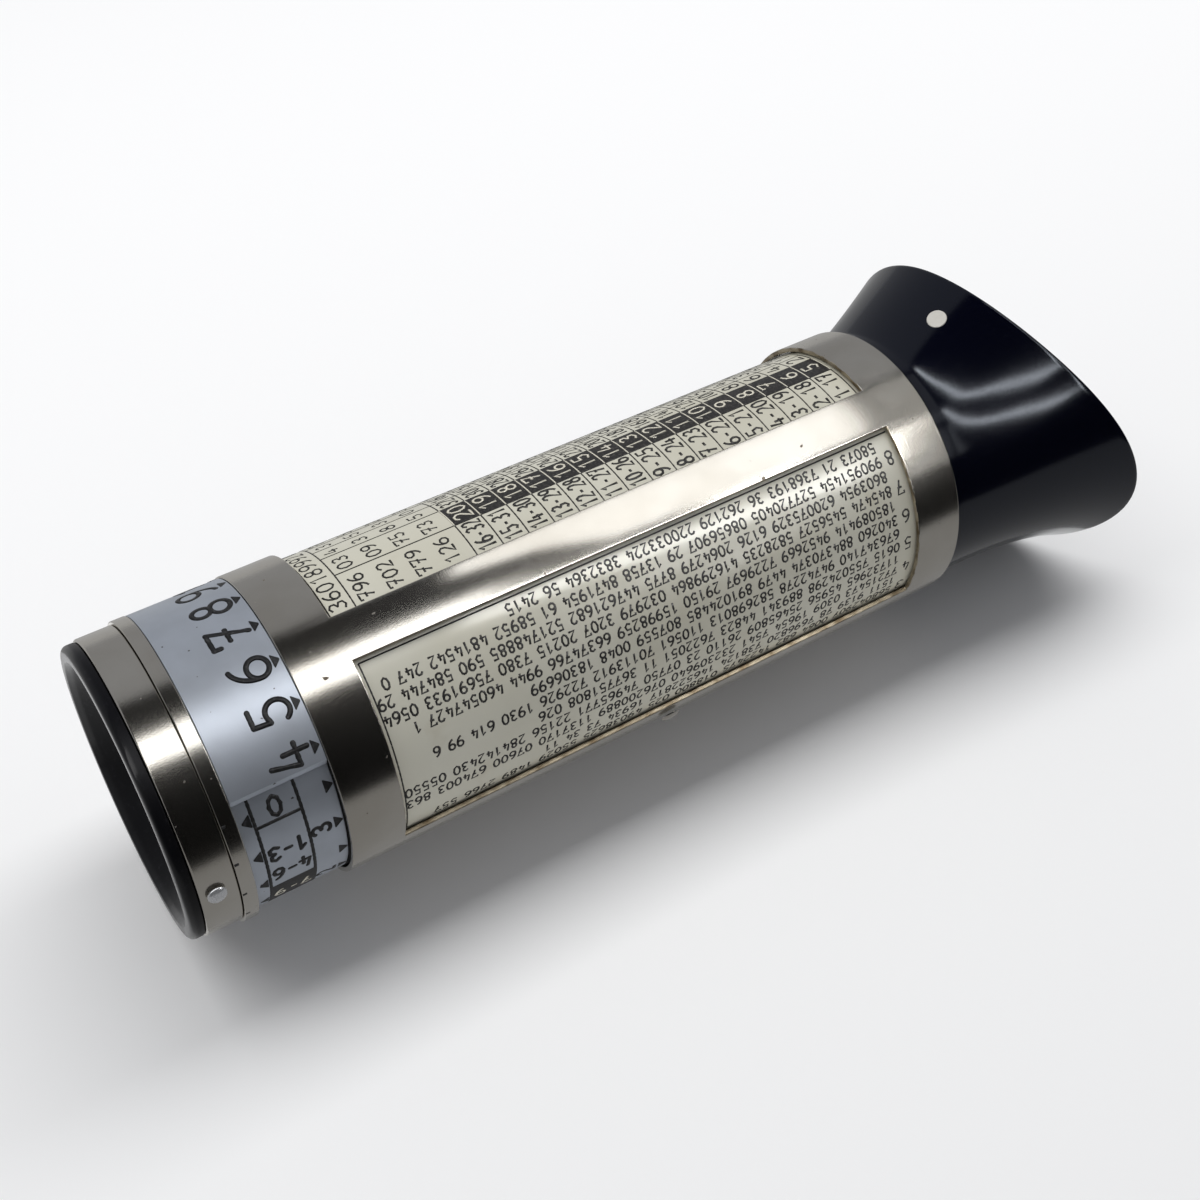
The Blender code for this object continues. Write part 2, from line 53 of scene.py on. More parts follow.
class Shade:
    """A value in a material's nodes. Maths on it adds Math nodes."""

    def __init__(self, tree, socket):
        self.tree = tree
        self.socket = socket

    def node(self, kind, settings, sockets, output=0):
        """Add any node: its settings first, then a value or a link for each socket."""
        made = self.tree.nodes.new("ShaderNode" + kind)
        for name, value in settings.items():
            setattr(made, name, value)
        for name, value in sockets.items():
            if isinstance(value, Shade):
                self.tree.links.new(value.socket, made.inputs[name])
            else:
                made.inputs[name].default_value = value
        return Shade(self.tree, made.outputs[output])

    def output(self, name):
        return Shade(self.tree, self.socket.node.outputs[name])

    def maths(self, operation, first, second=0.0):
        return self.node("Math", {"operation": operation}, {0: first, 1: second})

    def __add__(self, other):
        return self.maths("ADD", self, other)

    def __sub__(self, other):
        return self.maths("SUBTRACT", self, other)

    def __rsub__(self, other):
        return self.maths("SUBTRACT", other, self)

    def __mul__(self, other):
        return self.maths("MULTIPLY", self, other)

    __radd__ = __add__
    __rmul__ = __mul__

    def between(self, low, high):
        """Rise smoothly from 0 at low to 1 at high."""
        return self.node(
            "MapRange", {"interpolation_type": "SMOOTHSTEP"},
            {"Value": self, "From Min": low, "From Max": high})


def new_material(name):
    """A material, and the place on the surface that its patterns are built on."""
    material = bpy.data.materials.new(name)
    material.use_nodes = True
    tree = material.node_tree
    return material, Shade(tree, tree.nodes.new("ShaderNodeTexCoord").outputs["Object"])


def set_shader(material, sockets):
    shader = material.node_tree.nodes["Principled BSDF"]
    for name, value in sockets.items():
        if isinstance(value, Shade):
            material.node_tree.links.new(value.socket, shader.inputs[name])
        else:
            shader.inputs[name].default_value = value


def noise(place, grain, detail=3.0, stretch=(1.0, 1.0, 1.0)):
    """Cloudy variation from 0 to 1, with patches about as large as grain, in metres."""
    scaled = place.node("Mapping", {}, {"Vector": place, "Scale": stretch})
    return place.node("TexNoise", {}, {"Vector": scaled, "Scale": 1 / grain, "Detail": detail})


def mixed(mask, first, second):
    """The first colour where the mask is 0, the second where it is 1."""
    colours = [c if isinstance(c, Shade) else (*c, 1.0) for c in (first, second)]
    return mask.node("Mix", {"data_type": "RGBA"}, {0: mask, 6: colours[0], 7: colours[1]}, output=2)


def bumped(height, depth, strength):
    return height.node("Bump", {}, {"Height": height, "Distance": depth, "Strength": strength})


blackened, place = new_material("blackened_brass")
cloud = noise(place, 3 * MM)
grain = noise(place, 0.2 * MM)
set_shader(blackened, {
    "Base Color": mixed(cloud, (0.010, 0.010, 0.011), (0.030, 0.028, 0.026)),
    "Roughness": 0.45 + 0.25 * grain,
    "Normal": bumped(grain, 0.01 * MM, 0.4),
})
nodes["inner_tube"].material_slots[0].material = blackened

# Body sleeve: a thin brass tube, nickel plated and brushed to a satin finish, with two windows
# cut through it whose edges show tarnished brass, kept dark as painted shade in the gaps. Two
# rivets fix it on the inner tube.
BODY_RADIUS = 15.0 * MM
BODY_LENGTH = 69.8 * MM
SLEEVE_BORE = 14.5 * MM
WINDOW_INSET = 5.35 * MM
WINDOW_ARC = 77.7
WINDOW_BRIDGE = 17.6
BRIDGE_ANGLE = 112.0
SLEEVE_EDGE = 0.12 * MM
TURN_STEP = 2.0
MERGE_DISTANCE = 0.001 * MM
EDGE_ANGLE = math.radians(35.0)
sleeve_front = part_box("body_sleeve")[0].x
sleeve_rear = sleeve_front + BODY_LENGTH
window_front = sleeve_front + WINDOW_INSET
window_rear = sleeve_rear - WINDOW_INSET
table_start = BRIDGE_ANGLE - WINDOW_BRIDGE / 2 - WINDOW_ARC
instruction_start = BRIDGE_ANGLE + WINDOW_BRIDGE / 2


def on_tube(x, radius, angle):
    """A point of the frame, from its place along the tube and its angle round it in degrees."""
    turn = math.radians(angle)
    return Vector((x, axis_y + radius * math.cos(turn), axis_z + radius * math.sin(turn)))


def angle_of(point):
    """The angle round the tube, in degrees, from +Y towards +Z."""
    return math.degrees(math.atan2(point.z - axis_z, point.y - axis_y)) % 360.0


def start_piece(name, add, **settings):
    """Start a piece from a primitive, with nothing else selected."""
    bpy.ops.object.select_all(action="DESELECT")
    add(**settings)
    bpy.context.object.name = name
    return bpy.context.object


def edit_all():
    """Open the piece in edit mode with all of it selected."""
    bpy.ops.object.mode_set(mode="EDIT")
    bpy.ops.mesh.select_all(action="SELECT")


def close_seams():
    """Merge the doubled points of the opened piece, turn its faces outwards and close it."""
    bpy.ops.mesh.remove_doubles(threshold=MERGE_DISTANCE)
    bpy.ops.mesh.delete_loose()
    bpy.ops.mesh.select_all(action="SELECT")
    bpy.ops.mesh.normals_make_consistent(inside=False)
    bpy.ops.object.mode_set(mode="OBJECT")


def turned(name, outline, start=0.0, arcs=(360.0,)):
    """Spin a closed outline of (x, radius) points round the tube's axis, one arc after another."""
    piece = start_piece(name, bpy.ops.mesh.primitive_circle_add, vertices=len(outline), radius=MM)
    for point, (x, radius) in zip(piece.data.vertices, outline):
        point.co = on_tube(x, radius, start)
    edit_all()
    if sum(arcs) < 360.0:
        bpy.ops.mesh.edge_face_add()
    for arc in arcs:
        bpy.ops.mesh.spin(
            steps=math.ceil(arc / TURN_STEP), angle=-math.radians(arc),
            center=(0.0, axis_y, axis_z), axis=(1.0, 0.0, 0.0))
    bpy.ops.mesh.select_all(action="SELECT")
    close_seams()
    return piece


def apply_modifier(piece, kind, **settings):
    modifier = piece.modifiers.new(kind.lower(), kind)
    for name, value in settings.items():
        setattr(modifier, name, value)
    bpy.context.view_layer.objects.active = piece
    bpy.ops.object.modifier_apply(modifier=modifier.name)


def round_edges(piece, width, segments=3):
    """Break the sharp edges, and shade the curves smooth and the flats flat."""
    apply_modifier(
        piece, "BEVEL", width=width, segments=segments, limit_method="ANGLE",
        angle_limit=EDGE_ANGLE)
    bpy.ops.object.shade_smooth()
    apply_modifier(piece, "WEIGHTED_NORMAL", keep_sharp=True)


def fit(piece, material, body, slot, *replaced):
    """Give a finished piece its material and its place among the bodies."""
    if not piece.data.materials:
        piece.data.materials.append(material)
    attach(piece, body)
    if replaced:
        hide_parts(*replaced)


def unrolled(place):
    """The place on the tube's skin, as if it were slit along the underside and laid flat."""
    along = place.node("SeparateXYZ", {}, {"Vector": place})
    turn = along.maths("ARCTAN2", along.output("Y") - axis_y, along.output("Z") - axis_z)
    return place.node("CombineXYZ", {}, {"X": along, "Y": turn * BODY_RADIUS})


nickel, place = new_material("satin_nickel")
flat = unrolled(place)
brushing = noise(flat, 1 * MM, 4.0, (7.0, 0.9, 1.0))
speckle = noise(flat, 0.16 * MM, 2.0)
cloud = noise(place, 9 * MM)
pits = noise(place, 0.9 * MM, 1.0).between(0.76, 0.80)
plate = mixed(cloud.between(0.3, 0.7), (0.66, 0.635, 0.585), (0.57, 0.54, 0.485))
set_shader(nickel, {
    "Base Color": mixed(pits, plate, (0.13, 0.105, 0.08)),
    "Metallic": 1.0 - 0.6 * pits,
    "Roughness": 0.13 + 0.08 * speckle + 0.06 * brushing + 0.25 * pits,
    "Normal": bumped(brushing + 1.2 * speckle - pits, 0.007 * MM, 0.5),
})
# The cut walls of the windows: tarnished brass, with dark browns that also stand in as painted shade in the
# gap round the sheets.
edge_tarnish_and_painted_shade, place = new_material("window_edge_tarnish_and_painted_shade")
tarnish = noise(place, 1.5 * MM)
set_shader(edge_tarnish_and_painted_shade, {
    "Base Color": mixed(tarnish.between(0.3, 0.7), (0.13, 0.095, 0.055), (0.40, 0.35, 0.26)),
    "Metallic": 0.8,
    "Roughness": 0.30 + 0.3 * tarnish,
})
sleeve_edges = (sleeve_front, window_front, window_rear, sleeve_rear)
body_sleeve = turned(
    "sleeve_shell",
    [(x, BODY_RADIUS) for x in sleeve_edges] + [(x, SLEEVE_BORE) for x in reversed(sleeve_edges)],
    table_start,
    (WINDOW_ARC, WINDOW_BRIDGE, WINDOW_ARC, 360.0 - 2 * WINDOW_ARC - WINDOW_BRIDGE),
)
body_sleeve.data.materials.append(nickel)
body_sleeve.data.materials.append(edge_tarnish_and_painted_shade)
body_sleeve.active_material_index = 1
for window_start in (table_start, instruction_start):
    bpy.ops.object.mode_set(mode="EDIT")
    bpy.ops.mesh.select_mode(type="FACE")
    bpy.ops.mesh.select_all(action="DESELECT")
    bpy.ops.object.mode_set(mode="OBJECT")
    for face in body_sleeve.data.polygons:
        inside = window_start < angle_of(face.center) < window_start + WINDOW_ARC
        face.select = inside and window_front < face.center.x < window_rear
    bpy.ops.object.mode_set(mode="EDIT")
    bpy.ops.mesh.bridge_edge_loops()
    bpy.ops.object.material_slot_assign()
    bpy.ops.object.mode_set(mode="OBJECT")
round_edges(body_sleeve, SLEEVE_EDGE)
fit(body_sleeve, nickel, "tube", "nickel", "body_sleeve")

# Printed sheets: glossy ivory celluloid, curled into the gap between the sleeve and the inner
# tube and held there by the edges of the windows.
SHEET_RADIUS = 14.3 * MM
SHEET_THICKNESS = 0.25 * MM
SHEET_MARGIN = 0.5 * MM
SHEET_MARGIN_ARC = 3.0
SHEET_EDGE = 0.04 * MM
sheet_front = window_front - SHEET_MARGIN
sheet_rear = window_rear + SHEET_MARGIN


def band(front, rear, radius, bore):
    """The outline of a plain ring, as its (x, radius) corners."""
    return [(front, radius), (rear, radius), (rear, bore), (front, bore)]


ivory, place = new_material("ivory_celluloid")
cloud = noise(place, 12 * MM)
fibre = noise(place, 0.35 * MM)
waves = noise(unrolled(place), 9 * MM, 1.0, (0.6, 1.5, 1.0))
stain = noise(place, 4 * MM).between(0.58, 0.80)
aged = mixed(cloud.between(0.3, 0.7), (0.62, 0.605, 0.515), (0.57, 0.55, 0.455))
set_shader(ivory, {
    "Base Color": mixed(0.35 * stain, aged, (0.47, 0.42, 0.31)),
    "Roughness": 0.17 + 0.08 * fibre,
    "Normal": bumped(waves + 0.01 * fibre, 0.25 * MM, 0.5),
})
for name, window_start in (("table_sheet", table_start), ("instruction_sheet", instruction_start)):
    sheet = turned(
        name + "_ivory",
        band(sheet_front, sheet_rear, SHEET_RADIUS, SHEET_RADIUS - SHEET_THICKNESS),
        window_start - SHEET_MARGIN_ARC,
        (WINDOW_ARC + 2 * SHEET_MARGIN_ARC,),
    )
    round_edges(sheet, SHEET_EDGE, 1)
    fit(sheet, ivory, "tube", "ivory_sheet", name)

# Print on the table sheet: a ruled table of plain numbers in black ink, with one row in white
# on black. It is a skin of ink on the sheet.
INK_HEIGHT = 0.02 * MM
SHARP_CORNER = math.radians(35.0)
SMOOTH_ANGLE = math.radians(40.0)
CURVE_STEP = 0.7 * MM
CAP_STEPS = 4
FINE_STEPS = 20
SMALL_STEPS = 4
NUMERAL_MIDDLE = 0.31
NUMERAL_PITCH = 0.74
NUMBER_HEIGHT = 1.9 * MM
NUMBER_STROKE = 0.28 * MM
RULE_WIDTH = 0.16 * MM
TABLE_INSET = 0.25 * MM
TITLE_WIDTH = 2.5 * MM
COLUMNS_INSET = 20.36 * MM
TABLE_COLUMNS = 16
COLUMN_PITCH = 2.7425 * MM
ROW_ANGLES = (102.4, 84.5, 71.4, 62.9, 54.4, 45.9, 37.4, 28.0)
BLACK_ROW = 1
table_left = window_front + TABLE_INSET
title_right = table_left + TITLE_WIDTH
columns_left = sleeve_front + COLUMNS_INSET
table_right = columns_left + TABLE_COLUMNS * COLUMN_PITCH
table_near = ROW_ANGLES[0]
table_far = ROW_ANGLES[-1]
table_rows = list(zip(ROW_ANGLES, ROW_ANGLES[1:]))
black_near, black_far = table_rows[BLACK_ROW]
white_radius = SHEET_RADIUS + INK_HEIGHT


def ellipse(across, up, wide, high, start, stop, steps):
    """Points along an ellipse, from one angle to another in degrees."""
    turns = [math.radians(start + (stop - start) * i / steps) for i in range(steps + 1)]
    return [(across + wide * math.cos(turn), up + high * math.sin(turn)) for turn in turns]


def numerals(half):
    """Strokes of the plain numerals in a box one high, with this many steps to half a turn."""
    whole = 2 * half
    six = [
        ellipse(0.54, 0.30, 0.49, 0.66, 100.0, 180.0, half)
        + ellipse(0.31, 0.29, 0.26, 0.26, 180.0, 540.0, whole),
    ]
    return {
        "0": [ellipse(0.31, 0.50, 0.27, 0.47, 90.0, 450.0, whole)],
        "1": [[(0.14, 0.74), (0.38, 0.97), (0.38, 0.03)]],
        "2": [ellipse(0.31, 0.70, 0.25, 0.27, 165.0, -35.0, half) + [(0.06, 0.03), (0.58, 0.03)]],
        "3": [
            ellipse(0.29, 0.74, 0.24, 0.23, 150.0, -90.0, half)
            + ellipse(0.29, 0.26, 0.27, 0.23, 90.0, -150.0, half),
        ],
        "4": [[(0.20, 0.97), (0.05, 0.30), (0.58, 0.30)], [(0.40, 0.62), (0.40, 0.03)]],
        "5": [
            [(0.52, 0.97), (0.13, 0.97), (0.10, 0.56)]
            + ellipse(0.29, 0.32, 0.27, 0.29, 120.0, -145.0, half),
        ],
        "6": six,
        "7": [[(0.05, 0.80), (0.05, 0.97), (0.57, 0.97), (0.24, 0.03)], [(0.16, 0.52), (0.52, 0.52)]],
        "8": [
            ellipse(0.31, 0.74, 0.20, 0.23, -90.0, 270.0, whole),
            ellipse(0.31, 0.27, 0.26, 0.24, 90.0, 450.0, whole),
        ],
        "9": [[(2 * NUMERAL_MIDDLE - across, 1.0 - up) for across, up in stroke] for stroke in six],
        "-": [[(0.12, 0.45), (0.44, 0.45)]],
    }


FINE_NUMERALS = numerals(FINE_STEPS)
SMALL_NUMERALS = numerals(SMALL_STEPS)


def numbers(text, height, x, angle, radius, along_tube=False, shapes=SMALL_NUMERALS, longest=math.inf):
    """Strokes of a number, centred at a place on a cylinder: (x, arc length) points.

    It reads round the tube with its top to the front, or along it towards the front, and is
    squeezed where it would be longer than the longest length.
    """
    strokes = []
    width = min(height, longest / (len(text) * NUMERAL_PITCH))
    for position, mark in enumerate(text):
        for stroke in shapes[mark]:
            points = []
            for across, up in stroke:
                right = (across - NUMERAL_MIDDLE + (position - (len(text) - 1) / 2) * NUMERAL_PITCH) * width
                raised = (up - 0.5) * height
                forward, round_tube = (right, raised) if along_tube else (raised, -right)
                points.append((x - forward, math.radians(angle) * radius + round_tube))
            strokes.append(points)
    return strokes


def rule(x_first, angle_first, x_last, angle_last, radius):
    """A straight ruled line on a cylinder, as (x, arc length) points."""
    return [(x_first, math.radians(angle_first) * radius), (x_last, math.radians(angle_last) * radius)]


def followed(stroke):
    """The same stroke with more points where it goes round the tube, so that it keeps to the curve."""
    points = stroke[:1]
    for (x, around), (next_x, next_around) in zip(stroke, stroke[1:]):
        steps = max(1, math.ceil(abs(next_around - around) / CURVE_STEP))
        for i in range(1, steps + 1):
            points.append((x + (next_x - x) * i / steps, around + (next_around - around) * i / steps))
    return points


def split_at_corners(stroke):
    """The parts of a stroke between its sharp corners."""
    parts = [stroke[:2]]
    for before, corner, after in zip(stroke, stroke[1:], stroke[2:]):
        way_in = Vector(corner) - Vector(before)
        way_out = Vector(after) - Vector(corner)
        if way_in.angle(way_out) > SHARP_CORNER:
            parts.append([corner])
        parts[-1].append(after)
    return parts


def round_end(end, beside, reach):
    """(x, arc length, share of the width) points of a round cap, from its tip to the stroke's end."""
    outwards = (Vector(end) - Vector(beside)).normalized() * reach
    cap = ellipse(0.0, 0.0, 1.0, 1.0, 0.0, 90.0, CAP_STEPS)[:-1]
    return [(end[0] + outwards.x * along, end[1] + outwards.y * along, share) for along, share in cap]


def inked(name, strokes, width, radius, material, body, slot, rounded=False):
    """Flat strokes of ink or paint on a cylinder, from their (x, arc length) points."""
    if rounded:
        strokes = [part for stroke in strokes for part in split_at_corners(stroke)]
    curve = bpy.data.curves.new(name, "CURVE")
    curve.dimensions = "3D"
    curve.twist_mode = "Z_UP"
    curve.bevel_depth = width / 2
    curve.bevel_resolution = 0
    curve.use_fill_caps = True
    for stroke in strokes:
        points = [(x, around, 1.0) for x, around in followed(stroke)]
        if rounded:
            first_cap = round_end(*stroke[:2], width / 2)
            last_cap = round_end(*stroke[:-3:-1], width / 2)
            points = first_cap + points + last_cap[::-1]
        line = curve.splines.new("POLY")
        line.points.add(len(points) - 1)
        for point, (x, around, share) in zip(line.points, points):
            point.co = (x, around, 0.0, 1.0)
            point.radius = share
    piece = bpy.data.objects.new(name, curve)
    bpy.context.scene.collection.objects.link(piece)
    bpy.ops.object.select_all(action="DESELECT")
    piece.select_set(True)
    bpy.context.view_layer.objects.active = piece
    bpy.ops.object.convert(target="MESH")
    for point in piece.data.vertices:
        raised = point.co.z * INK_HEIGHT / (width / 2)
        point.co = on_tube(point.co.x, radius + raised, math.degrees(point.co.y / radius))
    edit_all()
    close_seams()
    fit(piece, material, body, slot)


def ink_patch(name, front, rear, start, arc, radius, material, body, slot):
    """An even patch of ink or paint on a cylinder, over an arc that starts at an angle."""
    patch = turned(name, band(front, rear, radius + INK_HEIGHT / 2, radius - INK_HEIGHT), start, (arc,))
    bpy.ops.object.shade_smooth_by_angle(angle=SMOOTH_ANGLE)
    fit(patch, material, body, slot)


ink, place = new_material("black_ink")
worn = noise(place, 0.25 * MM)
set_shader(ink, {
    "Base Color": mixed(worn.between(0.45, 0.9), (0.014, 0.013, 0.013), (0.10, 0.095, 0.085)),
    "Roughness": 0.30 + 0.2 * worn,
})
paper_white, place = new_material("ivory_print")
set_shader(paper_white, {
    "Base Color": mixed(noise(place, 0.3 * MM), (0.80, 0.77, 0.66), (0.70, 0.66, 0.54)),
    "Roughness": 0.25,
})
ink_patch(
    "table_black_row", columns_left, table_right, black_far, black_near - black_far, SHEET_RADIUS,
    ink, "tube", "ivory_sheet")
black_marks = [
    rule(table_left, table_near, table_right, table_near, SHEET_RADIUS),
    rule(table_left, table_near, table_left, table_far, SHEET_RADIUS),
    rule(title_right, table_near, title_right, table_far, SHEET_RADIUS),
]
white_marks = []
black_numbers = []
white_numbers = []
for row_angle in ROW_ANGLES[1:]:
    black_marks.append(rule(title_right, row_angle, table_right, row_angle, SHEET_RADIUS))
for column in range(TABLE_COLUMNS + 1):
    x = columns_left + column * COLUMN_PITCH
    black_marks.append(rule(x, table_near, x, table_far, SHEET_RADIUS))
    white_marks.append(rule(x, black_near, x, black_far, white_radius))
for column in range(TABLE_COLUMNS):
    x = columns_left + (column + 0.5) * COLUMN_PITCH
    left = TABLE_COLUMNS - column
    pair = f"{left}-{left + TABLE_COLUMNS}"
    entries = (pair, left + 4, 2 * left, left, column + 1, column + 5, column + 9)
    for entry, (near, far) in zip(entries, table_rows):
        middle = (near + far) / 2
        room = math.radians(near - far) * SHEET_RADIUS - 2 * RULE_WIDTH
        if near == black_near:
            white_numbers += numbers(str(entry), NUMBER_HEIGHT, x, middle, white_radius, longest=room)
        else:
            black_numbers += numbers(str(entry), NUMBER_HEIGHT, x, middle, SHEET_RADIUS, longest=room)
for name, strokes, width, radius, colour in (
    ("table_rules", black_marks, RULE_WIDTH, SHEET_RADIUS, ink),
    ("table_numbers", black_numbers, NUMBER_STROKE, SHEET_RADIUS, ink),
    ("table_white_rules", white_marks, RULE_WIDTH, white_radius, paper_white),
    ("table_white_numbers", white_numbers, NUMBER_STROKE, white_radius, paper_white),
):
    inked(name, strokes, width, radius, colour, "tube", "ivory_sheet")

# Print on the instruction sheet: lines of plain figures in groups, inside a thin frame, with an
# item number at the start of some lines. The same figures fill the head of the table.
PRINT_HEIGHT = 1.15 * MM
PRINT_STROKE = 0.22 * MM
PRINT_GAP = 0.55
PRINT_SEED = 5
SHORTEST_GROUP = 2
LONGEST_GROUP = 9
PRINT_LEFT_MARGIN = 0.9 * MM
PRINT_RIGHT_MARGIN = 2.0 * MM
LINE_COUNT = 12
FIRST_LINE_ANGLE = 126.0
LINE_PITCH = 6.3
SHORTENED_BY = (0.0, 0.0, 1.0 * MM, 3.0 * MM, 14.0 * MM)
FIRST_ITEM = 8
ITEM_HEIGHT = 1.3 * PRINT_HEIGHT
ITEM_OFFSET = 1.1 * MM
FRAME_INSET = 0.45 * MM
FRAME_INSET_ARC = 1.2
HEAD_HEIGHT = 1.35 * PRINT_HEIGHT
HEAD_INSET = 10.3 * MM
HEAD_LINES = 4
HEAD_PITCH = 2.9 * MM
HEAD_MARGIN_ARC = 1.5
HEAD_SPARE_ARC = 6.0
TITLE_HEIGHT = 1.5 * PRINT_HEIGHT
TITLE_INSET = 0.55 * MM
print_left = window_front + PRINT_LEFT_MARGIN
print_right = window_rear - PRINT_RIGHT_MARGIN
item_x = print_right + ITEM_OFFSET
dice = random.Random(PRINT_SEED)


def small_print(length, height):
    """Strokes of figures in groups, as (across, up) points from the start of a line."""
    strokes = []
    across = 0.0
    group = dice.randint(SHORTEST_GROUP + 1, LONGEST_GROUP)
    while across < length:
        if group == 0:
            across += PRINT_GAP * height
            group = dice.randint(SHORTEST_GROUP, LONGEST_GROUP)
        for stroke in SMALL_NUMERALS[str(dice.randint(0, 9))]:
            strokes.append([(across + right * height, up * height) for right, up in stroke])
        across += NUMERAL_PITCH * height
        group -= 1
    return strokes


def head_line(x, near, far, height):
    """A line of small print round the tube, between two angles of the table."""
    around = math.radians(near - HEAD_MARGIN_ARC) * SHEET_RADIUS
    length = math.radians(near - far - HEAD_SPARE_ARC) * SHEET_RADIUS
    return [[(x - up, around - across) for across, up in stroke] for stroke in small_print(length, height)]


instruction_marks = []
item_numbers = []
for line in range(LINE_COUNT):
    line_angle = FIRST_LINE_ANGLE + line * LINE_PITCH
    around = math.radians(line_angle) * SHEET_RADIUS - PRINT_HEIGHT / 2
    length = print_right - print_left - dice.choice(SHORTENED_BY)
    for stroke in small_print(length, PRINT_HEIGHT):
        instruction_marks.append([(print_right - across, around + up) for across, up in stroke])
    if line % 2 == 1:
        item = str(FIRST_ITEM - line // 2)
        item_numbers += numbers(item, ITEM_HEIGHT, item_x, line_angle, SHEET_RADIUS, True)
frame_top = instruction_start + FRAME_INSET_ARC
frame_left = window_front + FRAME_INSET
frame_lines = [
    rule(frame_left, frame_top, window_rear, frame_top, SHEET_RADIUS),
    rule(frame_left, frame_top, frame_left, instruction_start + WINDOW_ARC, SHEET_RADIUS),
]
head_marks = []
for near, far in table_rows:
    for line in range(HEAD_LINES):
        head_marks += head_line(sleeve_front + HEAD_INSET + line * HEAD_PITCH, near, far, HEAD_HEIGHT)
head_marks += head_line(title_right - TITLE_INSET, table_near, table_far, TITLE_HEIGHT)
for name, strokes, width in (
    ("instruction_print", instruction_marks, PRINT_STROKE),
    ("instruction_items", item_numbers, PRINT_STROKE),
    ("instruction_frame", frame_lines, RULE_WIDTH),
    ("table_head_print", head_marks, PRINT_STROKE),
):
    inked(name, strokes, width, SHEET_RADIUS, ink, "tube", "ivory_sheet")

# Speed ring: a light alloy ring, matt silver with black filled marks, that turns on the neck of
# the inner tube. Its framed column of numbers shows through the cut-out of the sleeve over it.
SCALE_WIDTH = 9.06 * MM
RING_GAP = 0.06 * MM
RING_BORE = 13.15 * MM
SPEED_RADIUS = 14.25 * MM
RING_EDGE = 0.1 * MM
MARK_COUNT = 22
MARK_PITCH = 16.2
FIRST_MARK_ANGLE = 157.0
MARK_LENGTH = 0.9 * MM
MARK_WIDTH = 1.45 * MM
MARK_ROUND = 0.16 * MM
FRONT_MARK_INSET = 1.2 * MM
REAR_MARK_INSET = 1.0 * MM
FRAME_STROKE = 0.34 * MM
COLUMN_FRONT = 7.6 * MM
COLUMN_REAR = 3.35 * MM
COLUMN_START = 140.0
COLUMN_STOP = 300.0
CELL_ANGLES = (161.0, 227.0, 243.0, 259.0, 275.0)
CELL_HEIGHT = 1.7 * MM
TOP_CELL_HEIGHT = 2.0 * MM
TOP_CELL_ANGLE = 155.5
DARK_CELL_ANGLE = 194.0
PALE_ANGLE = 203.0
PALE_STROKE = 0.3 * MM
FIGURE_HEIGHT = 1.8 * MM
FIGURE_STROKE = 0.4 * MM
FIGURE_INSET = 2.25 * MM
FIRST_FIGURE_ANGLE = 173.5
FIGURE_PITCH = 32.0
ring_front = sleeve_front - SCALE_WIDTH + RING_GAP
ring_rear = sleeve_front - RING_GAP
silver, place = new_material("matt_silver")
flat = unrolled(place)
turning = noise(flat, 1 * MM, 3.0, (6.0, 0.35, 1.0))
speckle = noise(flat, 0.12 * MM, 2.0)
cloud = noise(place, 5 * MM)
specks = noise(place, 0.6 * MM, 1.0).between(0.77, 0.80)
tone = mixed(cloud.between(0.3, 0.7), (0.56, 0.605, 0.68), (0.50, 0.54, 0.605))
set_shader(silver, {
    "Base Color": mixed(specks, tone, (0.12, 0.12, 0.13)),
    "Metallic": 0.75,
    "Roughness": 0.32 + 0.10 * speckle + 0.06 * turning,
    "Normal": bumped(turning + speckle, 0.005 * MM, 0.5),
})
black_fill, place = new_material("black_filling")
worn = noise(place, 0.3 * MM)
set_shader(black_fill, {
    "Base Color": mixed(worn.between(0.5, 0.9), (0.008, 0.008, 0.009), (0.07, 0.07, 0.075)),
    "Roughness": 0.35 + 0.25 * worn,
})


def pointers(name, x, tip, angles, radius, body):
    """Filled triangles on a cylinder, from a base at x to a tip along the tube."""
    bpy.ops.object.select_all(action="DESELECT")
    pieces = []
    for angle in angles:
        bpy.ops.mesh.primitive_circle_add(vertices=3, radius=MM, fill_type="NGON")
        pieces.append(bpy.context.object)
        corners = ((x, MARK_WIDTH / 2), (x, -MARK_WIDTH / 2), (x + tip, 0.0))
        for point, (along, beside) in zip(bpy.context.object.data.vertices, corners):
            point.co = (along, math.radians(angle) * radius + beside, 0.0)
    for piece in pieces:
        piece.select_set(True)
    bpy.ops.object.join()
    piece = bpy.context.object
    piece.name = name
    edit_all()
    bpy.ops.mesh.bevel(offset=MARK_ROUND, segments=3, affect="VERTICES")
    bpy.ops.mesh.select_all(action="SELECT")
    bpy.ops.mesh.extrude_region_move(TRANSFORM_OT_translate={"value": (0.0, 0.0, 2 * INK_HEIGHT)})
    bpy.ops.mesh.select_all(action="SELECT")
    bpy.ops.mesh.quads_convert_to_tris()
    bpy.ops.object.mode_set(mode="OBJECT")
    for point in piece.data.vertices:
        raised = radius - INK_HEIGHT / 2 + point.co.z
        point.co = on_tube(point.co.x, raised, math.degrees(point.co.y / radius))
    bpy.ops.object.mode_set(mode="EDIT")
    bpy.ops.mesh.normals_make_consistent(inside=False)
    bpy.ops.object.mode_set(mode="OBJECT")
    fit(piece, black_fill, body, "scale_silver")


def turned_ring(name, outline, material, body, slot, node):
    """A ring turned from its outline, with its edges broken, in the place of its solid."""
    ring = turned(name, outline)
    round_edges(ring, RING_EDGE)
    fit(ring, material, body, slot, node)


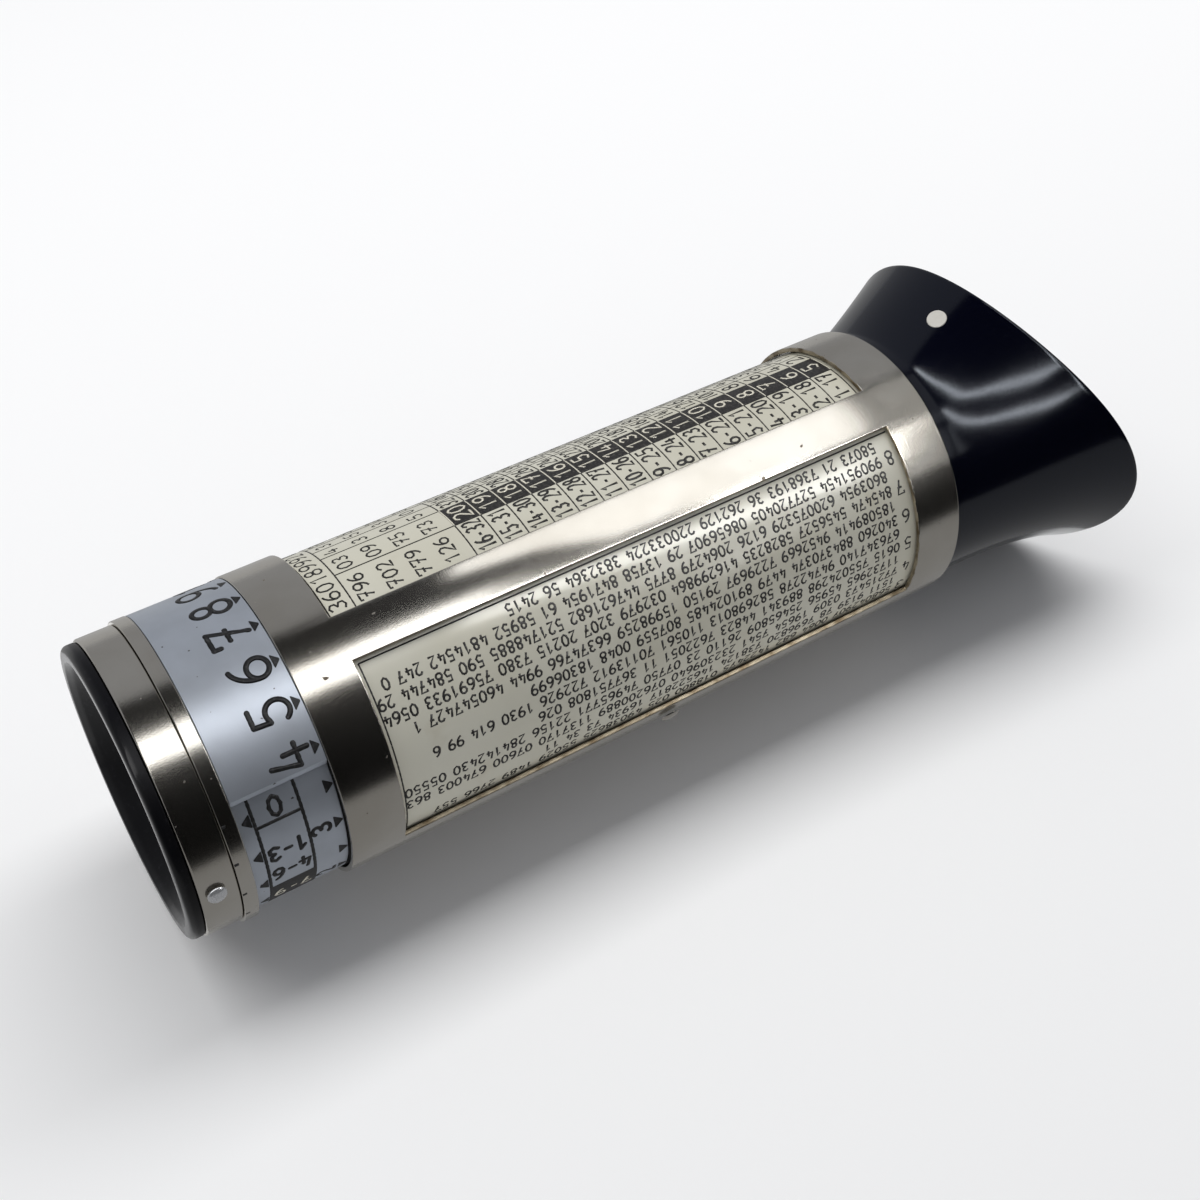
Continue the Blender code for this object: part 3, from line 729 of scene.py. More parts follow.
turned_ring(
    "speed_ring_silver", band(ring_front, ring_rear, SPEED_RADIUS, RING_BORE), silver, "speed_dial",
    "scale_silver", "speed_ring")
speed_angles = [FIRST_MARK_ANGLE + MARK_PITCH * i for i in range(MARK_COUNT)]
rear_mark = sleeve_front - REAR_MARK_INSET
front_mark = ring_front + FRONT_MARK_INSET
pointers("speed_marks_rear", rear_mark, MARK_LENGTH, speed_angles, SPEED_RADIUS, "speed_dial")
pointers("speed_marks_front", front_mark, -MARK_LENGTH, speed_angles, SPEED_RADIUS, "speed_dial")
column_front = sleeve_front - COLUMN_FRONT
column_rear = sleeve_front - COLUMN_REAR
column_middle = (column_front + column_rear) / 2
speed_lines = [
    rule(column_front, COLUMN_START, column_front, COLUMN_STOP, SPEED_RADIUS),
    rule(column_rear, COLUMN_START, column_rear, COLUMN_STOP, SPEED_RADIUS),
]
for cell_angle in CELL_ANGLES:
    speed_lines.append(rule(column_front, cell_angle, column_rear, cell_angle, SPEED_RADIUS))
inked("speed_column", speed_lines, FRAME_STROKE, SPEED_RADIUS, black_fill, "speed_dial", "scale_silver")
speed_numbers = numbers("0", TOP_CELL_HEIGHT, column_middle, TOP_CELL_ANGLE, SPEED_RADIUS, True)
for entry, cell_angle in (("1-3", 175.0), ("4-6", 186.5), ("8", 235.0), ("9", 251.0), ("10", 267.0)):
    speed_numbers += numbers(entry, CELL_HEIGHT, column_middle, cell_angle, SPEED_RADIUS, True)
for step, figure in enumerate("321"):
    angle = FIRST_FIGURE_ANGLE + FIGURE_PITCH * step
    speed_numbers += numbers(
        figure, FIGURE_HEIGHT, sleeve_front - FIGURE_INSET, angle, SPEED_RADIUS, shapes=FINE_NUMERALS)
inked(
    "speed_numbers", speed_numbers, FIGURE_STROKE, SPEED_RADIUS, black_fill, "speed_dial",
    "scale_silver", rounded=True)
ink_patch(
    "speed_dark_cell", column_front, column_rear, DARK_CELL_ANGLE, CELL_ANGLES[1] - DARK_CELL_ANGLE,
    SPEED_RADIUS, black_fill, "speed_dial", "scale_silver")
pale_radius = SPEED_RADIUS + INK_HEIGHT
pale_numbers = numbers("7-9", CELL_HEIGHT, column_middle, PALE_ANGLE, pale_radius, True)
inked(
    "speed_pale_numbers", pale_numbers, PALE_STROKE, pale_radius, paper_white, "speed_dial",
    "scale_silver")

# Scale sleeve: an open band of the same alloy that slides round on the speed ring. Its numerals
# are cut in and filled with black, and its cut ends are filed to a slope whose matt near-white
# colour is a painted reflection of the white table top.
SCALE_RADIUS = 14.85 * MM
SCALE_BORE = 14.32 * MM
SCALE_EDGE = 0.1 * MM
SCALE_SLOPE = 0.42 * MM
SCALE_CUT_START = 149.0
SCALE_CUT_ARC = 115.0
NUMERAL_COUNT = 15
NUMERAL_HEIGHT = 3.75 * MM
TWO_FIGURE_HEIGHT = 0.75 * NUMERAL_HEIGHT
NUMERAL_STROKE = 0.5 * MM
NUMERAL_INSET = 3.0 * MM
NUMERAL_STEP = 15.8
FIRST_NUMERAL = 4
FIRST_NUMERAL_ANGLE = 141.3
SCALE_MARK_LENGTH = 0.85 * MARK_LENGTH
SCALE_MARK_INSET = 0.9 * MM
scale_sleeve = turned(
    "scale_sleeve_silver",
    band(ring_front, ring_rear, SCALE_RADIUS, SCALE_BORE),
    SCALE_CUT_START + SCALE_CUT_ARC - 360.0,
    (360.0 - SCALE_CUT_ARC,),
)
# The filed slope: a matt, nearly white colour that stands in for the polished edge's reflection of the
# white table top, a painted reflection.
pale_alloy_painted_reflection, place = new_material("pale_alloy_painted_reflection")
scratches = noise(place, 0.8 * MM, 3.0, (5.0, 1.0, 1.0))
set_shader(pale_alloy_painted_reflection, {
    "Base Color": mixed(scratches, (0.86, 0.87, 0.90), (0.66, 0.68, 0.71)),
    "Metallic": 0.1,
    "Roughness": 0.3 + 0.2 * scratches,
})
scale_sleeve.data.materials.append(silver)
scale_sleeve.data.materials.append(pale_alloy_painted_reflection)
cut_middle = SCALE_CUT_START + SCALE_CUT_ARC / 2
end_reach = (SCALE_CUT_ARC + TURN_STEP) / 2
for point in scale_sleeve.data.vertices:
    angle = angle_of(point.co)
    outside = (point.co - on_tube(point.co.x, 0.0, 0.0)).length > SCALE_RADIUS - SCALE_EDGE
    if outside and abs(angle - cut_middle) < end_reach:
        point.co = on_tube(point.co.x, SCALE_RADIUS - SCALE_SLOPE, angle)
for face in scale_sleeve.data.polygons:
    if abs(angle_of(face.center) - cut_middle) < end_reach:
        face.material_index = 1
round_edges(scale_sleeve, SCALE_EDGE)
fit(scale_sleeve, silver, "scale_dial", "scale_silver", "scale_sleeve")
numeral_angles = [FIRST_NUMERAL_ANGLE - NUMERAL_STEP * i for i in range(NUMERAL_COUNT)]
numeral_x = sleeve_front - NUMERAL_INSET
scale_numerals = []
for step, angle in enumerate(numeral_angles):
    figure = str(FIRST_NUMERAL + step)
    height = NUMERAL_HEIGHT if len(figure) == 1 else TWO_FIGURE_HEIGHT
    scale_numerals += numbers(figure, height, numeral_x, angle, SCALE_RADIUS, shapes=FINE_NUMERALS)
inked(
    "scale_numerals", scale_numerals, NUMERAL_STROKE, SCALE_RADIUS, black_fill, "scale_dial",
    "scale_silver", rounded=True)
scale_mark = sleeve_front - SCALE_MARK_INSET
pointers("scale_marks", scale_mark, SCALE_MARK_LENGTH, numeral_angles, SCALE_RADIUS, "scale_dial")

# Index ring: a narrow nickel ring, fixed on the neck in front of the scales, with short black
# strokes at its front edge.
INDEX_WIDTH = 1.43 * MM
INDEX_RADIUS = 14.9 * MM
INDEX_MARKS = 4
INDEX_MARK_ANGLE = 153.5
INDEX_MARK_PITCH = 15.5
INDEX_MARK_INSET = 0.05 * MM
INDEX_MARK_LENGTH = 0.4 * MM
INDEX_STROKE = 0.3 * MM
index_front = sleeve_front - SCALE_WIDTH - INDEX_WIDTH + RING_GAP
index_rear = sleeve_front - SCALE_WIDTH
turned_ring(
    "index_ring_nickel", band(index_front, index_rear, INDEX_RADIUS, RING_BORE), nickel, "tube",
    "nickel", "index_ring")
mark_front = index_front + INDEX_MARK_INSET
mark_rear = mark_front + INDEX_MARK_LENGTH
index_marks = []
for step in range(INDEX_MARKS):
    angle = INDEX_MARK_ANGLE + INDEX_MARK_PITCH * step
    index_marks.append(rule(mark_front, angle, mark_rear, angle, INDEX_RADIUS))
inked("index_marks", index_marks, INDEX_STROKE, INDEX_RADIUS, black_fill, "tube", "nickel")

# Front bezel: a nickel ring with a rounded front edge, pinned to the neck from both sides by two
# steel pins with polished, domed heads.
BEZEL_WIDTH = 3.43 * MM
BEZEL_RADIUS = 14.6 * MM
BEZEL_ROUND = 0.25 * MM
ROUND_STEPS = 6
DOME_SEGMENTS = 32
DOME_RINGS = 16
PIN_RADIUS = 0.9 * MM
PIN_DOME = 0.35 * MM
PIN_SETBACK = 2.0 * MM
PIN_ANGLE = 178.0
bezel_rear = index_front - RING_GAP
bezel_front = bezel_rear - BEZEL_WIDTH


def front_round(front, radius, size, steps):
    """(x, radius) points of a quarter round, from a front face to the surface behind it."""
    return ellipse(front + size, radius - size, size, size, 180.0, 90.0, steps)


turned_ring(
    "front_bezel_nickel",
    [
        *front_round(bezel_front, BEZEL_RADIUS, BEZEL_ROUND, ROUND_STEPS),
        (bezel_rear, BEZEL_RADIUS),
        (bezel_rear, RING_BORE),
        (bezel_front, RING_BORE),
    ],
    nickel, "tube", "nickel", "front_bezel",
)
steel, place = new_material("polished_steel")
scuffs = noise(place, 0.4 * MM)
set_shader(steel, {
    "Base Color": mixed(scuffs, (0.74, 0.75, 0.77), (0.60, 0.61, 0.63)),
    "Metallic": 0.7,
    "Roughness": 0.18 + 0.2 * scuffs,
})


def domed_head(name, radius, dome, x, seat, angle, material, slot, node):
    """The domed head of a rivet or pin, standing on a cylinder and sunk a little into it."""
    piece = start_piece(
        name, bpy.ops.mesh.primitive_uv_sphere_add, segments=DOME_SEGMENTS, ring_count=DOME_RINGS,
        radius=radius)
    edit_all()
    bpy.ops.mesh.bisect(plane_co=(0, 0, 0), plane_no=(0, 0, 1), clear_inner=True, use_fill=True)
    bpy.ops.mesh.select_all(action="SELECT")
    bpy.ops.transform.resize(value=(1.0, 1.0, dome / radius))
    bpy.ops.object.mode_set(mode="OBJECT")
    for point in piece.data.vertices:
        if point.co.z < MERGE_DISTANCE:
            point.co.z = -dome / 2
    outwards = on_tube(0.0, 1.0, angle) - on_tube(0.0, 0.0, angle)
    piece.rotation_euler = outwards.to_track_quat("Z", "X").to_euler()
    piece.location = on_tube(x, seat, angle)
    bpy.ops.object.transform_apply(location=True, rotation=True, scale=True)
    bpy.ops.object.shade_smooth_by_angle(angle=SMOOTH_ANGLE)
    fit(piece, material, "tube", slot, node)


for side, angle in (("near", PIN_ANGLE), ("far", PIN_ANGLE + 180.0)):
    domed_head(
        "pin_head_" + side, PIN_RADIUS, PIN_DOME, bezel_rear - PIN_SETBACK + RING_GAP, BEZEL_RADIUS,
        angle, steel, "spring_steel", "bezel_pin_" + side)

# Objective ring: turned brass, lacquered black, screwed into the front of the tube. Its head
# covers the bezel's front, and its conical mouth leads to the front glass that it holds.
OBJECTIVE_RADIUS = 14.4 * MM
OBJECTIVE_ROUND = 0.6 * MM
OBJECTIVE_STEPS = 8
OBJECTIVE_NECK = 12.95 * MM
OBJECTIVE_MOUTH = 13.0 * MM
OBJECTIVE_BORE = 11.0 * MM
OBJECTIVE_CONE = 2.6 * MM
OBJECTIVE_LENGTH = 5.4 * MM
GLOSS_FRONT = 0.35 * MM
GLOSS_REAR = 0.75 * MM
STACK_RADIUS = 12.0 * MM
objective_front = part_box("objective_ring")[0].x
thread_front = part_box("inner_tube")[0].x - RING_GAP
lacquer, place = new_material("objective_lacquer")
dust = noise(place, 0.5 * MM)
cloud = noise(place, 2.5 * MM)
along = place.node("SeparateXYZ", {}, {"Vector": place})
behind_lip = along.between(objective_front + GLOSS_FRONT, objective_front + GLOSS_REAR)
set_shader(lacquer, {
    "Base Color": mixed(dust.between(0.55, 0.95), (0.003, 0.003, 0.0045), (0.016, 0.016, 0.02)),
    "Roughness": 0.30 + 0.18 * cloud,
    "Specular IOR Level": 0.2,
    "Coat Weight": 0.4 - 0.4 * behind_lip,
    "Coat Roughness": 0.12,
    "Normal": bumped(cloud, 0.01 * MM, 0.3),
})
turned_ring(
    "objective_ring_black",
    [
        (objective_front, OBJECTIVE_MOUTH),
        *front_round(objective_front, OBJECTIVE_RADIUS, OBJECTIVE_ROUND, OBJECTIVE_STEPS),
        (bezel_front - RING_GAP, OBJECTIVE_RADIUS),
        (bezel_front - RING_GAP, OBJECTIVE_NECK),
        (thread_front, OBJECTIVE_NECK),
        (thread_front, STACK_RADIUS),
        (objective_front + OBJECTIVE_LENGTH, STACK_RADIUS),
        (objective_front + OBJECTIVE_LENGTH, OBJECTIVE_BORE),
        (objective_front + OBJECTIVE_CONE, OBJECTIVE_BORE),
    ],
    lacquer, "tube", "black_lacquer", "objective_ring",
)

# Optical stack: front glass, blackened spacer, field stop, stepped grey wedge and ground number
# plate, held by a ring. They lie in the dark of the tube.
WEDGE_STEP = 2.0 * MM
WEDGE_CHANGE = 0.08
WEDGE_MIDDLE = 0.5
clear_glass, place = new_material("polished_optical_glass")
set_shader(clear_glass, {
    "Base Color": mixed(noise(place, 6 * MM), (0.90, 0.95, 0.95), (0.82, 0.88, 0.88)),
    "Roughness": 0.02,
    "Transmission Weight": 1.0,
    "IOR": 1.5,
})
smoke_glass, place = new_material("grey_wedge_glass")
split = place.node("SeparateXYZ", {}, {"Vector": place})
step = split.maths("FLOOR", (split.output("Y") - axis_y) * (1 / WEDGE_STEP))
clearness = step * WEDGE_CHANGE + WEDGE_MIDDLE
set_shader(smoke_glass, {
    "Base Color": mixed(clearness, (0.05, 0.05, 0.055), (0.50, 0.50, 0.52)),
    "Roughness": 0.08,
    "Transmission Weight": 0.6,
})
milk_glass, place = new_material("ground_glass")
ground = noise(place, 0.15 * MM)
set_shader(milk_glass, {
    "Base Color": mixed(ground, (0.78, 0.79, 0.77), (0.66, 0.67, 0.65)),
    "Roughness": 0.45 + 0.2 * ground,
    "Transmission Weight": 0.4,
})
nodes["front_glass"].material_slots[0].material = clear_glass
nodes["grey_wedge"].material_slots[0].material = smoke_glass
nodes["number_plate"].material_slots[0].material = milk_glass
for name in ("spacer_tube", "field_stop", "plate_ring"):
    nodes[name].material_slots[0].material = blackened

# Sleeve rivets: low domed heads of plated brass, one beyond the outer edge of each window. They
# go through the sleeve and fix it on the inner tube.
RIVET_RADIUS = 1.0 * MM
RIVET_DOME = 0.35 * MM
RIVET_SETBACK_ARC = 8.0
rivet_reach = WINDOW_BRIDGE / 2 + WINDOW_ARC + RIVET_SETBACK_ARC
for side, angle in (("near", BRIDGE_ANGLE + rivet_reach), ("far", BRIDGE_ANGLE - rivet_reach)):
    domed_head(
        "rivet_head_" + side, RIVET_RADIUS, RIVET_DOME, sleeve_front + BODY_LENGTH / 2, BODY_RADIUS,
        angle, nickel, "nickel", "sleeve_rivet_" + side)

# Draw tube: the sliding nickel tube of the eyepiece. A steel spring in its groove holds it where
# it is set, and a lip and a blackened ring hold the loupe lens in it.
DRAW_BORE = 11.0 * MM
EYE_BORE = 10.3 * MM
GROOVE_DEPTH = 0.5 * MM
GROOVE_SETBACK = 2.0 * MM
GROOVE_WIDTH = 2.4 * MM
LENS_SETBACK = 6.0 * MM
LENS_RADIUS = 10.8 * MM
LENS_EDGE = 1.6 * MM
LENS_BULGE = 1.7 * MM
LENS_STEPS = 12
draw_low, draw_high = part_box("draw_tube")
groove_front = draw_low.x + GROOVE_SETBACK
groove_rear = groove_front + GROOVE_WIDTH
lens_seat = draw_high.x - LENS_SETBACK
turned_ring(
    "draw_tube_nickel",
    [
        (draw_low.x, STACK_RADIUS),
        (groove_front, STACK_RADIUS),
        (groove_front, STACK_RADIUS - GROOVE_DEPTH),
        (groove_rear, STACK_RADIUS - GROOVE_DEPTH),
        (groove_rear, STACK_RADIUS),
        (draw_high.x, STACK_RADIUS),
        (draw_high.x, EYE_BORE),
        (lens_seat, EYE_BORE),
        (lens_seat, DRAW_BORE),
        (draw_low.x, DRAW_BORE),
    ],
    nickel, "eyepiece", "nickel", "draw_tube",
)
nodes["friction_spring"].material_slots[0].material = steel
nodes["lens_ring"].material_slots[0].material = blackened
lens_rear = lens_seat - RING_GAP
lens_front = lens_rear - LENS_EDGE
lens_curve = ellipse(0.0, 0.0, LENS_BULGE, LENS_RADIUS, 0.0, 90.0, LENS_STEPS)
loupe_lens = turned(
    "loupe_lens_glass",
    [(lens_rear + bulge, radius) for bulge, radius in lens_curve]
    + [(lens_front - bulge, radius) for bulge, radius in reversed(lens_curve)],
)
bpy.ops.object.shade_smooth_by_angle(angle=SMOOTH_ANGLE)
fit(loupe_lens, clear_glass, "eyepiece", "clear_glass", "loupe_lens")

# Eyepiece ring: blackened, screwed into the draw tube. Its flange keeps the eyecup on and lets
# it turn.
SPIGOT_RADIUS = 10.1 * MM
EYEPIECE_BORE = 9.3 * MM
EYEPIECE_FLANGE = 1.0 * MM
FLANGE_RADIUS = 12.45 * MM
eyepiece_low, eyepiece_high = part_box("eyepiece_ring")
flange_front = eyepiece_high.x - EYEPIECE_FLANGE
turned_ring(
    "eyepiece_ring_black",
    [
        (eyepiece_low.x, SPIGOT_RADIUS),
        (flange_front, SPIGOT_RADIUS),
        (flange_front, FLANGE_RADIUS),
        (eyepiece_high.x, FLANGE_RADIUS),
        (eyepiece_high.x, EYEPIECE_BORE),
        (eyepiece_low.x, EYEPIECE_BORE),
    ],
    blackened, "eyepiece", "blackened", "eyepiece_ring",
)

# Eyecup: a horn moulded in black plastic and polished. Its rim slants back and dips at the sides
# to fit round an eye, and it turns on the draw tube to suit either eye.
CUP_RADIUS = 14.15 * MM
CUP_NECK = 1.3 * MM
CUP_WALL = 1.5 * MM
CUP_FLOOR = 4.3 * MM
CUP_SOCKET = 2.9 * MM
RIM_RADIUS = 18.3 * MM
RIM_SHIFT = 1.1 * MM
RIM_MEAN = 17.2 * MM
RIM_SLANT = 6.4 * MM
RIM_SLANT_ANGLE = 220.0
RIM_DIP = 1.9 * MM
RIM_DIP_ANGLE = 193.0
RIM_LIP = 0.45 * MM
RIM_STEPS = 8
CUP_EDGE = 0.2 * MM
FLARE_POWER = 1.7
FLARE_POWER_SWING = 0.6
FLARE_ROWS = 32
CUP_COLUMNS = 180
cup_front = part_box("eyecup")[0].x
horn_front = cup_front + CUP_NECK
cup_floor = cup_front + CUP_FLOOR
cup_socket = cup_front + CUP_SOCKET


def rim_place(angle):
    """(x, radius) of the rim: round in end view, slanted and dipped along the tube."""
    turn = math.radians(angle)
    slant = RIM_SLANT * math.cos(math.radians(angle - RIM_SLANT_ANGLE))
    dip = RIM_DIP * math.cos(2 * math.radians(angle - RIM_DIP_ANGLE))
    reach = math.sqrt(RIM_RADIUS ** 2 - (RIM_SHIFT * math.sin(turn)) ** 2)
    return cup_front + RIM_MEAN + slant + dip, reach + RIM_SHIFT * math.cos(turn)


def horn_place(angle, height, start=horn_front):
    """(x, radius) on the outside of the horn, from start at height 0 to its rim at 1."""
    rim_x, rim_r = rim_place(angle)
    rim_x -= RIM_LIP
    x = start + (rim_x - start) * height
    power = FLARE_POWER + FLARE_POWER_SWING * math.cos(math.radians(angle - RIM_SLANT_ANGLE))
    return x, CUP_RADIUS + (rim_r - CUP_RADIUS) * ((x - horn_front) / (rim_x - horn_front)) ** power


def cup_section(angle):
    """The section of the cup at an angle: out along the horn, over the lip and back inside."""
    outside = [horn_place(angle, row / FLARE_ROWS) for row in range(FLARE_ROWS)]
    inside = [horn_place(angle, row / FLARE_ROWS, cup_floor) for row in range(FLARE_ROWS)]
    rim_x, rim_r = horn_place(angle, 1.0)
    lip = ellipse(rim_x, rim_r - CUP_WALL / 2, RIM_LIP, CUP_WALL / 2, 90.0, -90.0, RIM_STEPS)
    return [
        (cup_front, CUP_RADIUS),
        *outside,
        *lip,
        *((x, radius - CUP_WALL) for x, radius in reversed(inside)),
        (cup_floor, EYE_BORE),
        (cup_socket, EYE_BORE),
        (cup_socket, STACK_RADIUS + RING_GAP),
        (cup_front, STACK_RADIUS + RING_GAP),
        (cup_front, CUP_RADIUS),
    ]


bakelite, place = new_material("polished_black_moulding")
dust = noise(place, 0.35 * MM)
cloud = noise(place, 4 * MM)
grain = noise(place, 0.22 * MM, 2.0)
hairlines = noise(place, 1.2 * MM, 2.0, (0.25, 5.0, 1.6)).between(0.62, 0.75)
set_shader(bakelite, {
    "Base Color": mixed(dust.between(0.6, 0.95), (0.0010, 0.0013, 0.0055), (0.006, 0.007, 0.013)),
    "Roughness": 0.10 + 0.08 * grain + 0.04 * hairlines,
    "Specular Tint": (0.84, 0.91, 1.0, 1.0),
    "Normal": bumped(cloud + 0.35 * grain - 0.05 * hairlines, 0.012 * MM, 0.4),
})
cup_rows = len(cup_section(0.0))
eyecup = start_piece(
    "eyecup_black", bpy.ops.mesh.primitive_grid_add, x_subdivisions=CUP_COLUMNS,
    y_subdivisions=cup_rows - 1, size=MM)
for point in eyecup.data.vertices:
    column = point.index % (CUP_COLUMNS + 1)
    angle = 360.0 * column / CUP_COLUMNS
    x, radius = cup_section(angle)[point.index // (CUP_COLUMNS + 1)]
    point.co = on_tube(x, radius, angle)
edit_all()
close_seams()
round_edges(eyecup, CUP_EDGE)
fit(eyecup, bakelite, "cup", "bakelite", "eyecup")

# Pale dot: a small round inlay of pale plastic that marks the top of the eyecup. It is pressed
# into a hole in the horn and stands a little proud of it.
DOT_RADIUS = 1.05 * MM
DOT_DEPTH = 0.8 * MM
DOT_ANGLE = 89.3
DOT_HEIGHT = 0.6
DOT_EDGE = 0.1 * MM
DOT_RISE = 0.09 * MM
DOT_SEGMENTS = 48
SLOPE_STEP = 0.05
SLOPE_ARC = 2.0
pale, place = new_material("pale_plastic")
set_shader(pale, {
    "Base Color": mixed(noise(place, 0.6 * MM), (0.66, 0.64, 0.59), (0.56, 0.54, 0.49)),
    "Roughness": 0.35,
})
ahead = on_tube(*horn_place(DOT_ANGLE, DOT_HEIGHT + SLOPE_STEP), DOT_ANGLE)
behind = on_tube(*horn_place(DOT_ANGLE, DOT_HEIGHT - SLOPE_STEP), DOT_ANGLE)
beside = on_tube(*horn_place(DOT_ANGLE + SLOPE_ARC, DOT_HEIGHT), DOT_ANGLE + SLOPE_ARC)
dot_middle = on_tube(*horn_place(DOT_ANGLE, DOT_HEIGHT), DOT_ANGLE)
dot_normal = (beside - dot_middle).cross(ahead - behind).normalized()
eye_dot = start_piece(
    "eye_dot_inlay", bpy.ops.mesh.primitive_cylinder_add, vertices=DOT_SEGMENTS, radius=DOT_RADIUS,
    depth=DOT_DEPTH)
round_edges(eye_dot, DOT_EDGE)
eye_dot.rotation_euler = dot_normal.to_track_quat("Z", "X").to_euler()
eye_dot.location = dot_middle - dot_normal * (DOT_DEPTH / 2 - DOT_RISE)
bpy.ops.object.transform_apply(location=True, rotation=True, scale=True)
fit(eye_dot, pale, "cup", "pale_inlay", "eye_dot")

# Table top: a plain matt white sheet that the meter lies on, wide enough to fill the picture and
# to take the meter's shadow.
FLOOR_SIZE = 6.0
floor = start_piece("white_floor", bpy.ops.mesh.primitive_plane_add, size=FLOOR_SIZE)
white = new_material("white_floor")[0]
set_shader(white, {"Base Color": (0.95, 0.95, 0.95, 1.0), "Roughness": 0.7, "Specular IOR Level": 0.0})
floor.data.materials.append(white)

# Light: one soft box overhead, behind the meter, in an even grey surround. The cards round the
# meter show only as reflections: bright and dark in the metal, two strips in the black gloss.
SURROUND_COLOUR = (0.30, 0.304, 0.315, 1.0)
SOFT_BOX_PLACE = (0.1, 0.13, 0.5)
SOFT_BOX_LENGTH = 1.2
SOFT_BOX_WIDTH = 0.27
SOFT_BOX_POWER = 3.3
BACK_DISTANCE = 0.28
REAR_DISTANCE = 0.27
STRIP_DISTANCE = 0.12
FRONT_DISTANCE = 0.08
NEAR_DISTANCE = 0.03
BACK_START = 72.0
BACK_ARC = 111.5
BACK_STEPS = 8
BACK_ENDS = (-0.7, 0.9)
STRIP_WIDTH = 0.007
FLOOR_CARD_LENGTH = 1.6
FLOOR_CARD_HEIGHT = 0.3 * MM
scene = bpy.context.scene
scene.view_settings.view_transform = "Standard"
world = bpy.data.worlds.new("surround")
scene.world = world
world.use_nodes = True
world.node_tree.nodes["Background"].inputs["Color"].default_value = SURROUND_COLOUR
bpy.ops.object.light_add(type="AREA", location=SOFT_BOX_PLACE)
soft_box = bpy.context.object
soft_box.data.shape = "RECTANGLE"
soft_box.data.size = SOFT_BOX_LENGTH
soft_box.data.size_y = SOFT_BOX_WIDTH
soft_box.data.energy = SOFT_BOX_POWER
soft_box.visible_glossy = False


def card_material(name, glow):
    material = new_material(name)[0]
    set_shader(material, {
        "Base Color": (0.0, 0.0, 0.0, 1.0),
        "Specular IOR Level": 0.0,
        "Emission Color": (1.0, 1.0, 1.0, 1.0),
        "Emission Strength": glow,
    })
    return material


def show_in_reflections_only(card, material):
    card.data.materials.append(material)
    card.visible_camera = False
    card.visible_diffuse = False
    card.visible_transmission = False
    card.visible_shadow = False


def curved_card(name, material, distance, edges):
    """A card round the tube, from the (x, angle) of both ends of each line across it."""
    card = start_piece(
        name, bpy.ops.mesh.primitive_grid_add, x_subdivisions=len(edges) - 1, y_subdivisions=1,
        size=MM)
    for point in card.data.vertices:
        x, angle = edges[point.index % len(edges)][point.index // len(edges)]
        point.co = on_tube(x, distance, angle)
    show_in_reflections_only(card, material)


dark = card_material("dark_card", 0.004)
dim = card_material("dim_card", 0.26)
grey = card_material("grey_card", 0.45)
soft = card_material("soft_card", 1.25)
bright = card_material("bright_card", 1.6)
front_light = card_material("front_light", 2.7)
strip_light = card_material("bright_strip", 9.5)
glare = card_material("glare", 14.5)
back_angles = [BACK_START + BACK_ARC * i / BACK_STEPS for i in range(BACK_STEPS + 1)]
back_edges = [[(x, angle) for x in BACK_ENDS] for angle in back_angles]
curved_card("dark_card_back", dark, BACK_DISTANCE, back_edges)
curved_card("bright_card_front", front_light, FRONT_DISTANCE, [
    ((-0.2, 103.0), (-0.2, 121.0)),
    ((0.0, 103.0), (0.0, 121.0)),
])
curved_card("bright_card_bridge", bright, NEAR_DISTANCE, [
    ((-0.018, 88.0), (-0.018, 95.0)),
    ((-0.009, 87.0), (-0.009, 99.5)),
    ((-0.001, 87.0), (-0.001, 111.0)),
    ((0.0315, 87.0), (0.0315, 114.0)),
])
curved_card("glare_card", glare, NEAR_DISTANCE, [
    ((-0.019, 116.5), (-0.019, 122.5)),
    ((-0.001, 120.0), (-0.001, 127.0)),
    ((0.010, 123.5), (0.010, 130.5)),
    ((0.021, 126.5), (0.021, 134.5)),
    ((0.031, 126.5), (0.031, 138.0)),
])
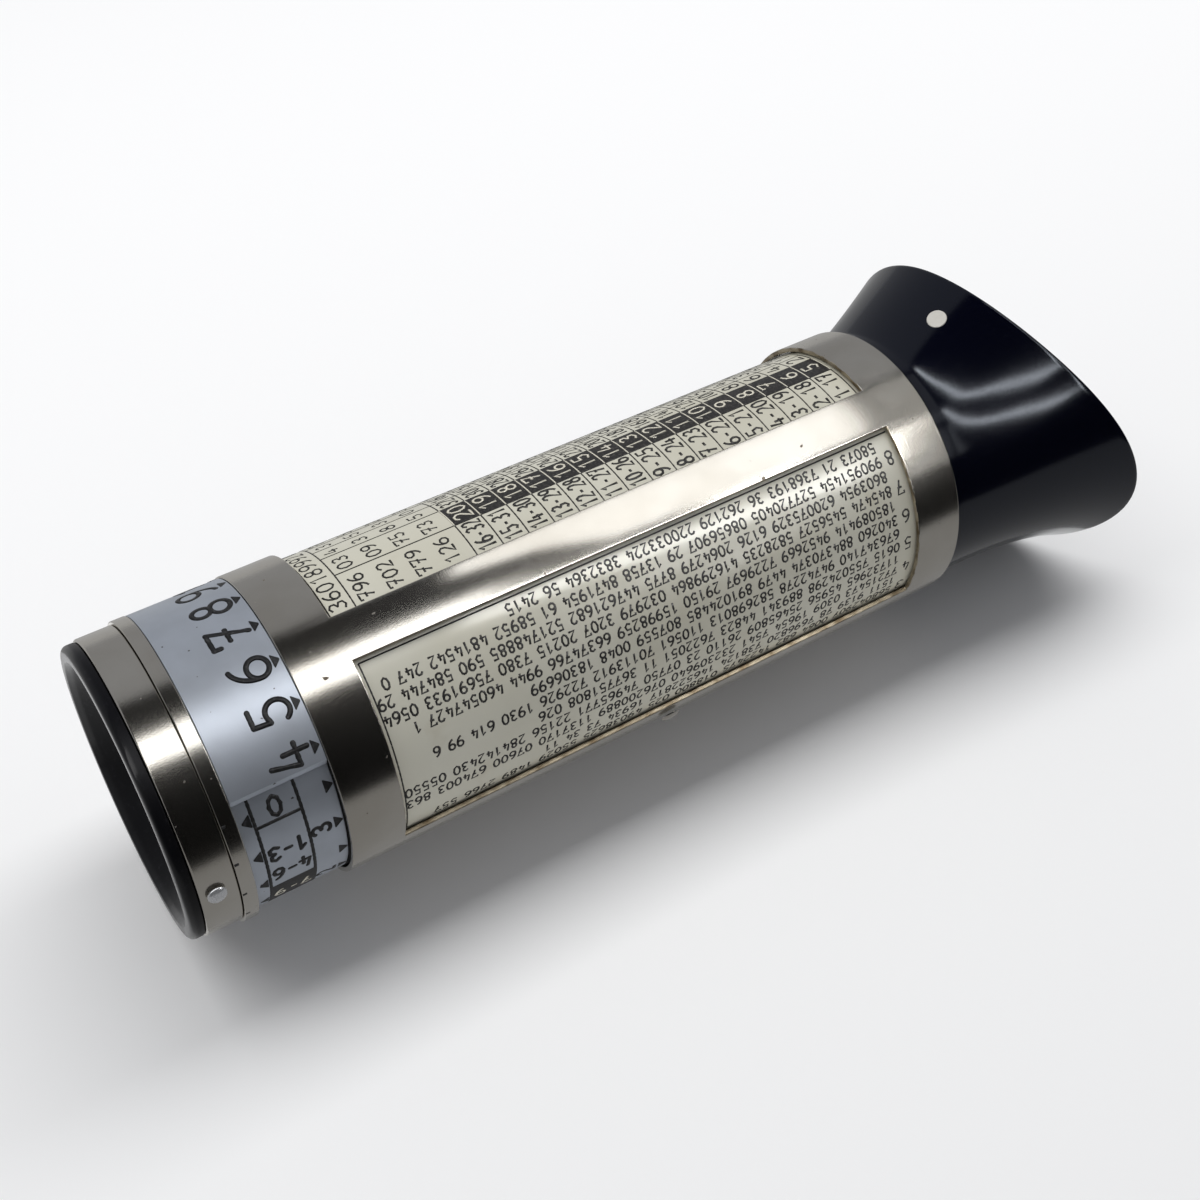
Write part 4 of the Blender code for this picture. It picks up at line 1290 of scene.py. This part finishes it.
curved_card("soft_card_rear", soft, REAR_DISTANCE, [
    ((0.181, 130.0), (0.181, 154.0)),
    ((0.197, 130.0), (0.197, 157.0)),
])
rear_edges = [((0.184, angle), (0.3, angle)) for angle in (76.0, 100.0, 124.0)]
curved_card("grey_card_rear", grey, REAR_DISTANCE, rear_edges)
for name, way in (
    ("far", ((0.068, 79.4), (0.0632, 105.5), (0.0623, 118.4), (0.0489, 131.8), (0.0393, 147.4))),
    ("near", ((0.0890, 117.4), (0.0874, 118.8), (0.0774, 136.7), (0.063, 150.1), (0.0526, 163.4))),
):
    edges = [((x - STRIP_WIDTH / 2, angle), (x + STRIP_WIDTH / 2, angle)) for x, angle in way]
    curved_card("bright_strip_" + name, strip_light, STRIP_DISTANCE, edges)
for name, material, near_y, far_y in (
    ("dark_floor_card", dark, -0.072, -0.312),
    ("dim_floor_card", dim, -0.012, -0.072),
    ("grey_floor_card", grey, 0.6, 0.04),
):
    middle = (0.0, (near_y + far_y) / 2, FLOOR_CARD_HEIGHT)
    card = start_piece(name, bpy.ops.mesh.primitive_plane_add, size=1.0, location=middle)
    card.scale = (FLOOR_CARD_LENGTH, near_y - far_y, 1.0)
    show_in_reflections_only(card, material)

# Camera: at the photograph's place, a hand's length above and in front of the objective end. It
# looks along the meter and down on it, and the picture is shifted a little on the lens.
CAMERA_PLACE = (-0.0677925, -0.1025084, 0.1374432)
CAMERA_DOWN = 44.6222
CAMERA_TURN = -32.4506
CAMERA_LENS = 49.85
CAMERA_SENSOR = 36.0
CAMERA_SHIFT = (-0.00885, -0.0221)
bpy.ops.object.camera_add(location=CAMERA_PLACE)
camera = bpy.context.object
camera.rotation_euler = (math.radians(90.0 - CAMERA_DOWN), 0.0, math.radians(CAMERA_TURN))
camera.data.sensor_fit = "HORIZONTAL"
camera.data.sensor_width = CAMERA_SENSOR
camera.data.lens = CAMERA_LENS
camera.data.shift_x, camera.data.shift_y = CAMERA_SHIFT
camera.data.clip_start = 1 * MM
scene.camera = camera
